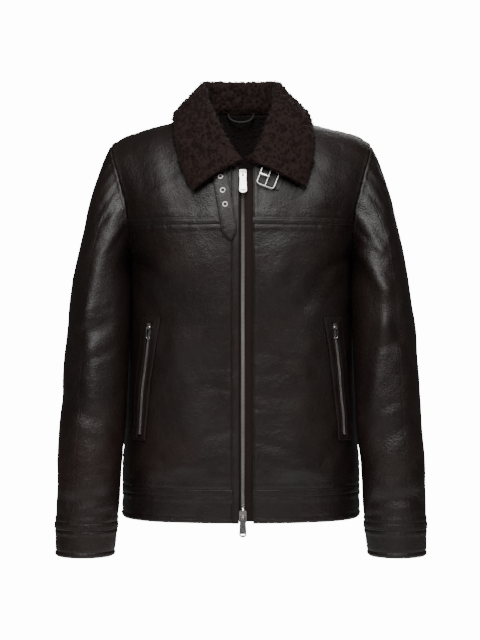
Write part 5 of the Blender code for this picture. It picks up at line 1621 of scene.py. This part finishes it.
def make_buckle():
    """Wire frame with the bar that its prong turns on, and the tab that holds it."""
    slope = Matrix.Rotation(-BUCKLE_SLOPE, 4, "Y")
    seat = local_frame(*BUCKLE_CENTRE, 0.0) @ slope
    frame_y = -(0.0012 + STRIP_LIFT + TAB_THICK + 0.0004 + BUCKLE_WIRE)
    place = seat @ Matrix.Translation((0, frame_y, 0))
    half_x, half_z = BUCKLE_LONG / 2 - BUCKLE_WIRE, BUCKLE_WIDE / 2 - BUCKLE_WIRE
    ring = wire_points(rounded_outline(half_x, half_z, BUCKLE_CORNER), BUCKLE_WIRE, 16)
    rows = len(ring)
    ring = ring.reshape(-1, 3)
    faces = facing_out(ring, closed_faces(rows, 16))
    around = circle(20)
    end = np.stack([np.cos(around), np.sin(around), np.zeros(20)], axis=-1) * BUCKLE_BAR
    bar = np.concatenate([end - [0, 0, half_z], end + [0, 0, half_z]])
    skin, caps = tube_faces(2, 20)
    points = moved(np.concatenate([ring, bar]), place)
    sets = [faces, skin + len(ring), caps[0] + len(ring), caps[1] + len(ring)]
    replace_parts(mesh_object("buckle_wire", points, sets, [LOOKS["polished"]]), "buckle_frame")
    share_x, share_z = crowded(31)[:, None], crowded(27)[None]
    local_x = -BUCKLE_LONG / 2 + TAB_INSET + share_x * TAB_LONG
    local_z = (share_z - 0.5) * TAB_WIDE * (1 - 0.14 * np.exp(-((share_x / 0.06) ** 2)))
    x = BUCKLE_CENTRE[0] + local_x * math.cos(BUCKLE_SLOPE) - local_z * math.sin(BUCKLE_SLOPE)
    z = BUCKLE_CENTRE[1] + local_x * math.sin(BUCKLE_SLOPE) + local_z * math.cos(BUCKLE_SLOPE)
    lift = STRIP_LIFT + TAB_THICK
    panel("buckle_tab", "strip", x, z, True, TAB_THICK, lift, kind="strip")


# ---- zips ----

TAPE_EDGES_X = (-0.020, 0.030)
TAPE_GAP = 0.0004  # from the chain's middle line to each tape
TOOTH_LAP = 0.0004  # each tooth reaches this far past the middle
POCKET_SLOT_START = 0.045  # where the slot starts along the pocket's line, and how long it is
POCKET_SLOT_RUN = 0.925
POCKET_PITCH = 0.00135
POCKET_TOOTH = 0.0024
POCKET_LAP = 0.0005
HANGER_HALF = 0.022
HANGER_TOP_Z = 0.0215
HANGER_SAG = 0.0148


def tooth_shape(half, power=0.72, rows=7, columns=10):
    """Rounded block: a superellipsoid with these half sizes across, outwards and up."""
    lat = np.linspace(-math.pi / 2, math.pi / 2, rows)[:, None]
    lon = circle(columns)

    def bent(value):
        return np.sign(value) * np.abs(value) ** power

    x = half[0] * bent(np.cos(lat)) * bent(np.cos(lon))
    y = half[1] * bent(np.cos(lat)) * bent(np.sin(lon))
    z = half[2] * bent(np.sin(lat)) * np.ones(columns)
    return np.stack([x, y, z], axis=-1).reshape(-1, 3)


def make_teeth(name, middle, z, half, overlap, size, lift, look):
    """Teeth of a closed zip, turn about from each tape, each reaching a little past the middle."""
    sign = np.where(np.arange(len(z)) % 2 == 0, -1.0, 1.0)
    x = middle + sign * (half - overlap) / 2
    centres, outward = torso(x, z, True, lift)
    beside, _ = torso(x + 0.001, z, True, lift)
    across = unit(beside - centres)
    axes = np.stack([across, outward, np.cross(across, outward)], axis=1)
    shape = tooth_shape(size)
    skin, caps = tube_faces(7, 10)
    return scattered(name, shape, skin, centres, axes, [LOOKS[look]], caps)


def tape_strip(name, x0, x1, z_top, z_foot, thick, lift, rows=180, columns=12):
    x = np.linspace(x0, x1, columns)[:, None]
    z = np.linspace(z_foot, z_top, rows)
    x, z = np.broadcast_arrays(x, z)
    panel(name, "tape", x, z, True, thick, lift, kind="tape")


def make_centre_zip(settings):
    edges = {
        "right": (TAPE_EDGES_X[0], ZIP_X - TAPE_GAP),
        "left": (ZIP_X + TAPE_GAP, TAPE_EDGES_X[1]),
    }
    for side, (low, high) in edges.items():
        top, foot = NECK_FRONT_Z - 0.004, HEM_Z + 0.003
        tape_strip(f"zip_tape_{side}", low, high, top, foot, TAPE_THICK, TAPE_LIFT)
    pitch = settings.tooth_pitch / 2
    z = np.arange(CHAIN_TOP_Z - pitch / 2, CHAIN_FOOT_Z, -pitch)
    size = ((CHAIN_HALF + TOOTH_LAP) / 2, CHAIN_THICK / 2, pitch * 0.27)
    lift = CHAIN_LIFT - CHAIN_THICK / 2
    teeth = make_teeth("zip_teeth", ZIP_X, z, CHAIN_HALF, TOOTH_LAP, size, lift, "bright")
    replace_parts(teeth, "zip_chain")


def pocket_line(side, share):
    shift = POCKET_SHIFT[side]
    x = POCKET_TOP[0] + (POCKET_FOOT[0] - POCKET_TOP[0]) * share
    bow = 0.0022 * np.sin(np.pi * share)
    return SIDES[side] * (x + shift + bow), POCKET_TOP[1] + (POCKET_FOOT[1] - POCKET_TOP[1]) * share


def make_pocket(side):
    """Welt frame round a slot, and the zip's teeth on their tapes in the slot."""
    down = np.linspace(0, 1, 74)
    share = np.concatenate([down, down[::-1]])
    edge = np.concatenate([np.ones(len(down)), -np.ones(len(down))])
    wide = POCKET_TOP_WIDE + (POCKET_FOOT_WIDE - POCKET_TOP_WIDE) * share
    inner_share = POCKET_SLOT_START + share * POCKET_SLOT_RUN
    across = crowded(12)[None]
    middle_out, z_out = pocket_line(side, share)
    middle_in, z_in = pocket_line(side, inner_share)
    x_out = middle_out + SIDES[side] * edge * wide / 2
    x_in = middle_in + SIDES[side] * edge * POCKET_SLOT / 2
    x = x_in[:, None] + (x_out - x_in)[:, None] * across
    z = z_in[:, None] + (z_out - z_in)[:, None] * across
    lift = POCKET_LIFT + STRIP_THICK
    name = f"pocket_welt_{side}"
    panel(name, "strip", x, z, True, STRIP_THICK, lift, ring=True, kind="strip")
    run = np.linspace(0.955, 0.060, 80)
    middle, z = pocket_line(side, run)
    x = middle + np.linspace(-1, 1, 8)[:, None] * (POCKET_SLOT / 2 - 0.0006)
    z = np.broadcast_to(z, x.shape)
    panel(f"pocket_tape_{side}", "tape", x, z, True, 0.0006, POCKET_LIFT + 0.0002, kind="tape")
    run = np.arange(0.068, 0.950, POCKET_PITCH / (POCKET_TOP[1] - POCKET_FOOT[1]))
    middle, z = pocket_line(side, run)
    size = ((POCKET_TOOTH + POCKET_LAP) / 2, POCKET_CHAIN_THICK / 2, POCKET_PITCH * 0.36)
    lift = POCKET_LIFT + POCKET_CHAIN_THICK / 2 + 0.0003
    name = f"pocket_teeth_{side}"
    # The pocket teeth take the lighter copy of the teeth's metal: painted light against the welts'
    # shade
    teeth = make_teeth(name, middle, z, POCKET_TOOTH, POCKET_LAP, size, lift, "lightened")
    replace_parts(teeth, f"pocket_zip_{side}")


def make_hanger():
    """Flattened cord inside the back neck, sewn in at both ends."""
    angle = np.linspace(0, math.pi, 49)
    hang = HANGER_TOP_Z - HANGER_SAG * np.sin(angle) ** 0.8
    path = np.stack([-HANGER_HALF * np.cos(angle), np.full(len(angle), HANGER_Y), hang], axis=-1)
    sides = 12
    inward = np.array([0.0, 1.0, 0.0])
    across = unit(np.cross(np.gradient(path, axis=0), inward))
    around = circle(sides)
    wide = across[:, None] * np.cos(around)[:, None] * 0.0020
    points = path[:, None] + wide + inward * np.sin(around)[:, None] * 0.0012
    skin, caps = tube_faces(len(path), sides)
    points = points.reshape(-1, 3)
    obj = mesh_object("hanger_cord", points, [facing_out(points, skin), *caps], [LOOKS["thread"]])
    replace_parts(obj, "hanger_loop")


# ---- sewing ----

# Rows of stitches: the shell, the number of its edge and the distance from that edge
PARTS = ("front_right", "front_left", "back")
STITCH_ROWS = {
    "stitches_body": (
        *((f"yoke_strip_{part}", edge, 0.0022) for part in PARTS for edge in (2, 3)),
        *((f"hem_strip_{part}", edge, 0.0022) for part in PARTS for edge in (2, 3)),
        *((f"hem_{part}", 2, 0.0086) for part in PARTS),
        ("front_edge_right", 0, 0.0026),
        *((f"{panel}_left", 0, 0.0026) for panel in ("front_lower", "front_yoke", "hem_front")),
        *(("throat_strap", edge, 0.0024) for edge in (0, 1)),
        *(("buckle_tab", edge, 0.0024) for edge in (2, 3)),
    ),
    "stitches_sleeves": (
        *((f"cuff_strip_{side}", edge, 0.0022) for side in SIDES for edge in (2, 3)),
        *((f"cuff_{side}", 3, 0.0086) for side in SIDES),
    ),
    "stitches_pockets": tuple(
        (f"pocket_welt_{side}", edge, 0.0020) for side in SIDES for edge in (2, 3)
    ),
}


def stitch_shape(rings=5, sides=4):
    """Short thread that comes up, runs along the hide and dives again: half length 1, strand 1."""
    t = np.linspace(-1, 1, rings)[:, None]
    around = circle(sides)
    strand = np.sqrt(np.clip(1 - 0.75 * t**4, 0, 1))
    aside = strand * np.cos(around)
    out = strand * np.sin(around) + 0.9 - 1.5 * t**2
    return np.stack([t * np.ones(sides), out, aside], axis=-1).reshape(-1, 3)


def make_stitches(name, rows, settings):
    centres, outwards, aheads = [], [], []
    for surface, edge, away in rows:
        points, outward = line_near(surface, edge, away)
        place, out, ahead = evenly(points, outward, settings.stitch_pitch)
        centres.append(place)
        outwards.append(unit(out))
        aheads.append(ahead)
    centre, outward, ahead = (np.concatenate(part) for part in (centres, outwards, aheads))
    strand = settings.thread_thick / 2
    half = ahead * settings.stitch_pitch * 0.40
    axes = [half, outward * strand, np.cross(ahead, outward) * strand]
    skin, caps = tube_faces(5, 4)
    shape = stitch_shape()
    scattered(name, shape, skin, centre, np.stack(axes, axis=1), [LOOKS["thread"]], caps)


# ---- hardware kept from the frame ----

CORNER_WIDTH = 0.00028
CORNER_ANGLE = 38
CARRIED = {
    "nickel": ("zip_slider_top", "zip_slider_bottom"),
    "polished": (
        "buckle_prong",
        "zip_pull_top",
        "zip_pull_bottom",
        *(f"pocket_{part}_{side}" for part in ("slider", "pull") for side in SIDES),
    ),
}


def carry_hardware():
    """Metal finish and softened corners for the sliders, pulls and prong."""
    for kind, names in CARRIED.items():
        for name in names:
            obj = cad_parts[name]
            obj.data.materials.clear()
            obj.data.materials.append(LOOKS[kind])
            soft = obj.modifiers.new("corners", "BEVEL")
            soft.width = CORNER_WIDTH
            soft.segments = 2
            soft.limit_method = "ANGLE"
            soft.angle_limit = math.radians(CORNER_ANGLE)


# ---- stage ----


def make_stage():
    """Floor, studio light and the camera at the photo's place."""
    scene = bpy.context.scene
    mesh = bpy.data.meshes.new("floor")
    span = FLOOR_SPAN / 2
    signs = ((-1, -1), (1, -1), (1, 1), (-1, 1))
    corners = [(x * span, y * span, FLOOR_Z) for x, y in signs]
    mesh.from_pydata(corners, [], [(0, 1, 2, 3)])
    floor = bpy.data.objects.new("floor", mesh)
    look = Recipe("floor")
    white = tone((0.90, 0.90, 0.90))
    mesh.materials.append(look.done(white, 0.9, Emission_Color=white, Emission_Strength=FLOOR_GLOW))
    scene.collection.objects.link(floor)
    world = bpy.data.worlds.new("studio")
    world.use_nodes = True
    back = next(n for n in world.node_tree.nodes if n.type == "BACKGROUND")
    back.inputs["Color"].default_value = (1.0, 1.0, 1.0, 1.0)
    seen = world.node_tree.nodes.new("ShaderNodeLightPath").outputs["Is Camera Ray"]
    strength = world.node_tree.nodes.new("ShaderNodeMapRange")
    strength.inputs["To Min"].default_value = WORLD_LIGHT
    strength.inputs["To Max"].default_value = BACKDROP
    world.node_tree.links.new(seen, strength.inputs["Value"])
    world.node_tree.links.new(strength.outputs["Result"], back.inputs["Strength"])
    scene.world = world
    for name, place, size, power in LAMPS:
        light = bpy.data.lights.new(name, "AREA")
        light.shape = "DISK"
        light.size = size
        light.energy = power
        lamp = bpy.data.objects.new(name, light)
        lamp.location = place
        aim = Vector(LAMP_AIM) - Vector(place)
        lamp.rotation_euler = aim.to_track_quat("-Z", "Y").to_euler()
        scene.collection.objects.link(lamp)
    lens = bpy.data.cameras.new("camera")
    lens.lens = CAMERA_LENS
    camera = bpy.data.objects.new("camera", lens)
    camera.location = CAMERA_PLACE
    camera.rotation_euler = (math.pi / 2, 0.0, 0.0)
    scene.collection.objects.link(camera)
    scene.camera = camera


# ---- add-on ----


def colour_setting(name, about, default):
    kind = {"subtype": "COLOR", "size": 3, "min": 0.0, "max": 1.0}
    return bpy.props.FloatVectorProperty(name=name, description=about, default=default, **kind)


def length_setting(name, about, default, low, high):
    sizes = {"default": default, "min": low, "max": high, "unit": "LENGTH"}
    return bpy.props.FloatProperty(name=name, description=about, **sizes)


class JacketSettings(bpy.types.PropertyGroup):
    """Colours and sizes of the jacket's finish."""

    leather_colour: colour_setting("Leather", "Colour of the hide", (0.0112, 0.0058, 0.0042))
    wool_colour: colour_setting("Wool", "Colour of wool and fleece", (0.0150, 0.0071, 0.0057))
    tape_colour: colour_setting("Tape", "Colour of the zip tapes", (0.0260, 0.0135, 0.0110))
    thread_colour: colour_setting("Thread", "Colour of the thread", (0.0085, 0.0056, 0.0047))
    grain_size: length_setting("Grain", "Width of one pebble of the hide", 0.0022, 0.0005, 0.01)
    curl_count: bpy.props.IntProperty(
        name="Curls", description="Curls on the collar", min=100, max=4500, default=4300
    )
    curl_size: length_setting("Curl size", "Width of one curl", 0.0042, 0.001, 0.02)
    tooth_pitch: length_setting("Tooth pitch", "Tooth to tooth on one tape", 0.0042, 0.002, 0.01)
    stitch_pitch: length_setting("Stitch pitch", "Stitch to stitch", 0.0042, 0.001, 0.01)
    thread_thick: length_setting("Thread", "Thickness of the thread", 0.0008, 0.0002, 0.003)


class JACKET_OT_looks(bpy.types.Operator):
    """Materials of the leather, wool, tape, thread and metal"""

    bl_idname = "jacket.looks"
    bl_label = "Materials"

    def execute(self, context):
        make_looks(context.scene.jacket_settings)
        return {"FINISHED"}


class JACKET_OT_body(bpy.types.Operator):
    """Fronts, yokes and back"""

    bl_idname = "jacket.body"
    bl_label = "Body panels"

    def execute(self, context):
        for side in SIDES:
            make_front_lower(side)
            make_front_yoke(side)
        make_back_lower()
        make_back_yoke()
        return {"FINISHED"}


class JACKET_OT_bands(bpy.types.Operator):
    """Hem band, the lapped strips and the strip down the front edge"""

    bl_idname = "jacket.bands"
    bl_label = "Hem and strips"

    def execute(self, context):
        make_hem()
        make_yoke_strips()
        make_front_edge()
        return {"FINISHED"}


class JACKET_OT_sleeves(bpy.types.Operator):
    """Both halves of each sleeve, its cuff and the cuff's strip"""

    bl_idname = "jacket.sleeves"
    bl_label = "Sleeves and cuffs"

    def execute(self, context):
        for side in SIDES:
            make_sleeve(side, "top")
            make_sleeve(side, "under")
            make_cuff(side)
        return {"FINISHED"}


class JACKET_OT_collar(bpy.types.Operator):
    """Rolled collar with its curls, and the loop inside the neck"""

    bl_idname = "jacket.collar"
    bl_label = "Collar"

    def execute(self, context):
        make_collar(context.scene.jacket_settings)
        make_hanger()
        return {"FINISHED"}


class JACKET_OT_latch(bpy.types.Operator):
    """Throat strap with its eyelets, and the buckle on its tab"""

    bl_idname = "jacket.latch"
    bl_label = "Throat latch"

    def execute(self, context):
        make_strap()
        make_buckle()
        return {"FINISHED"}


class JACKET_OT_zips(bpy.types.Operator):
    """Centre zip and both zip pockets"""

    bl_idname = "jacket.zips"
    bl_label = "Zips"

    def execute(self, context):
        make_centre_zip(context.scene.jacket_settings)
        for side in SIDES:
            make_pocket(side)
        return {"FINISHED"}


class JACKET_OT_sewing(bpy.types.Operator):
    """Rows of stitches on the strips, bands, welts and straps"""

    bl_idname = "jacket.sewing"
    bl_label = "Stitches"

    def execute(self, context):
        for name, rows in STITCH_ROWS.items():
            make_stitches(name, rows, context.scene.jacket_settings)
        return {"FINISHED"}


class JACKET_OT_hardware(bpy.types.Operator):
    """Finish and softened corners of the sliders, pulls and prong"""

    bl_idname = "jacket.hardware"
    bl_label = "Hardware"

    def execute(self, context):
        carry_hardware()
        return {"FINISHED"}


class JACKET_OT_stage(bpy.types.Operator):
    """Floor, studio light and camera"""

    bl_idname = "jacket.stage"
    bl_label = "Stage"

    def execute(self, context):
        make_stage()
        return {"FINISHED"}


OPERATORS = (
    JACKET_OT_looks,
    JACKET_OT_body,
    JACKET_OT_bands,
    JACKET_OT_sleeves,
    JACKET_OT_collar,
    JACKET_OT_latch,
    JACKET_OT_zips,
    JACKET_OT_sewing,
    JACKET_OT_hardware,
    JACKET_OT_stage,
)


class JACKET_PT_panel(bpy.types.Panel):
    """Jacket settings and the steps that build it"""

    bl_idname = "JACKET_PT_panel"
    bl_label = "Jacket"
    bl_space_type = "VIEW_3D"
    bl_region_type = "UI"
    bl_category = "Jacket"

    def draw(self, context):
        settings = context.scene.jacket_settings
        for name in JacketSettings.__annotations__:
            self.layout.prop(settings, name)
        for operator in OPERATORS:
            self.layout.operator(operator.bl_idname)


CLASSES = (JacketSettings, *OPERATORS, JACKET_PT_panel)


def register():
    for cls in CLASSES:
        bpy.utils.register_class(cls)
    bpy.types.Scene.jacket_settings = bpy.props.PointerProperty(type=JacketSettings)


def unregister():
    del bpy.types.Scene.jacket_settings
    for cls in reversed(CLASSES):
        bpy.utils.unregister_class(cls)


def main():
    register()
    for operator in OPERATORS:
        getattr(bpy.ops.jacket, operator.bl_idname.split(".")[1])()
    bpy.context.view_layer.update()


if __name__ == "__main__":
    main()
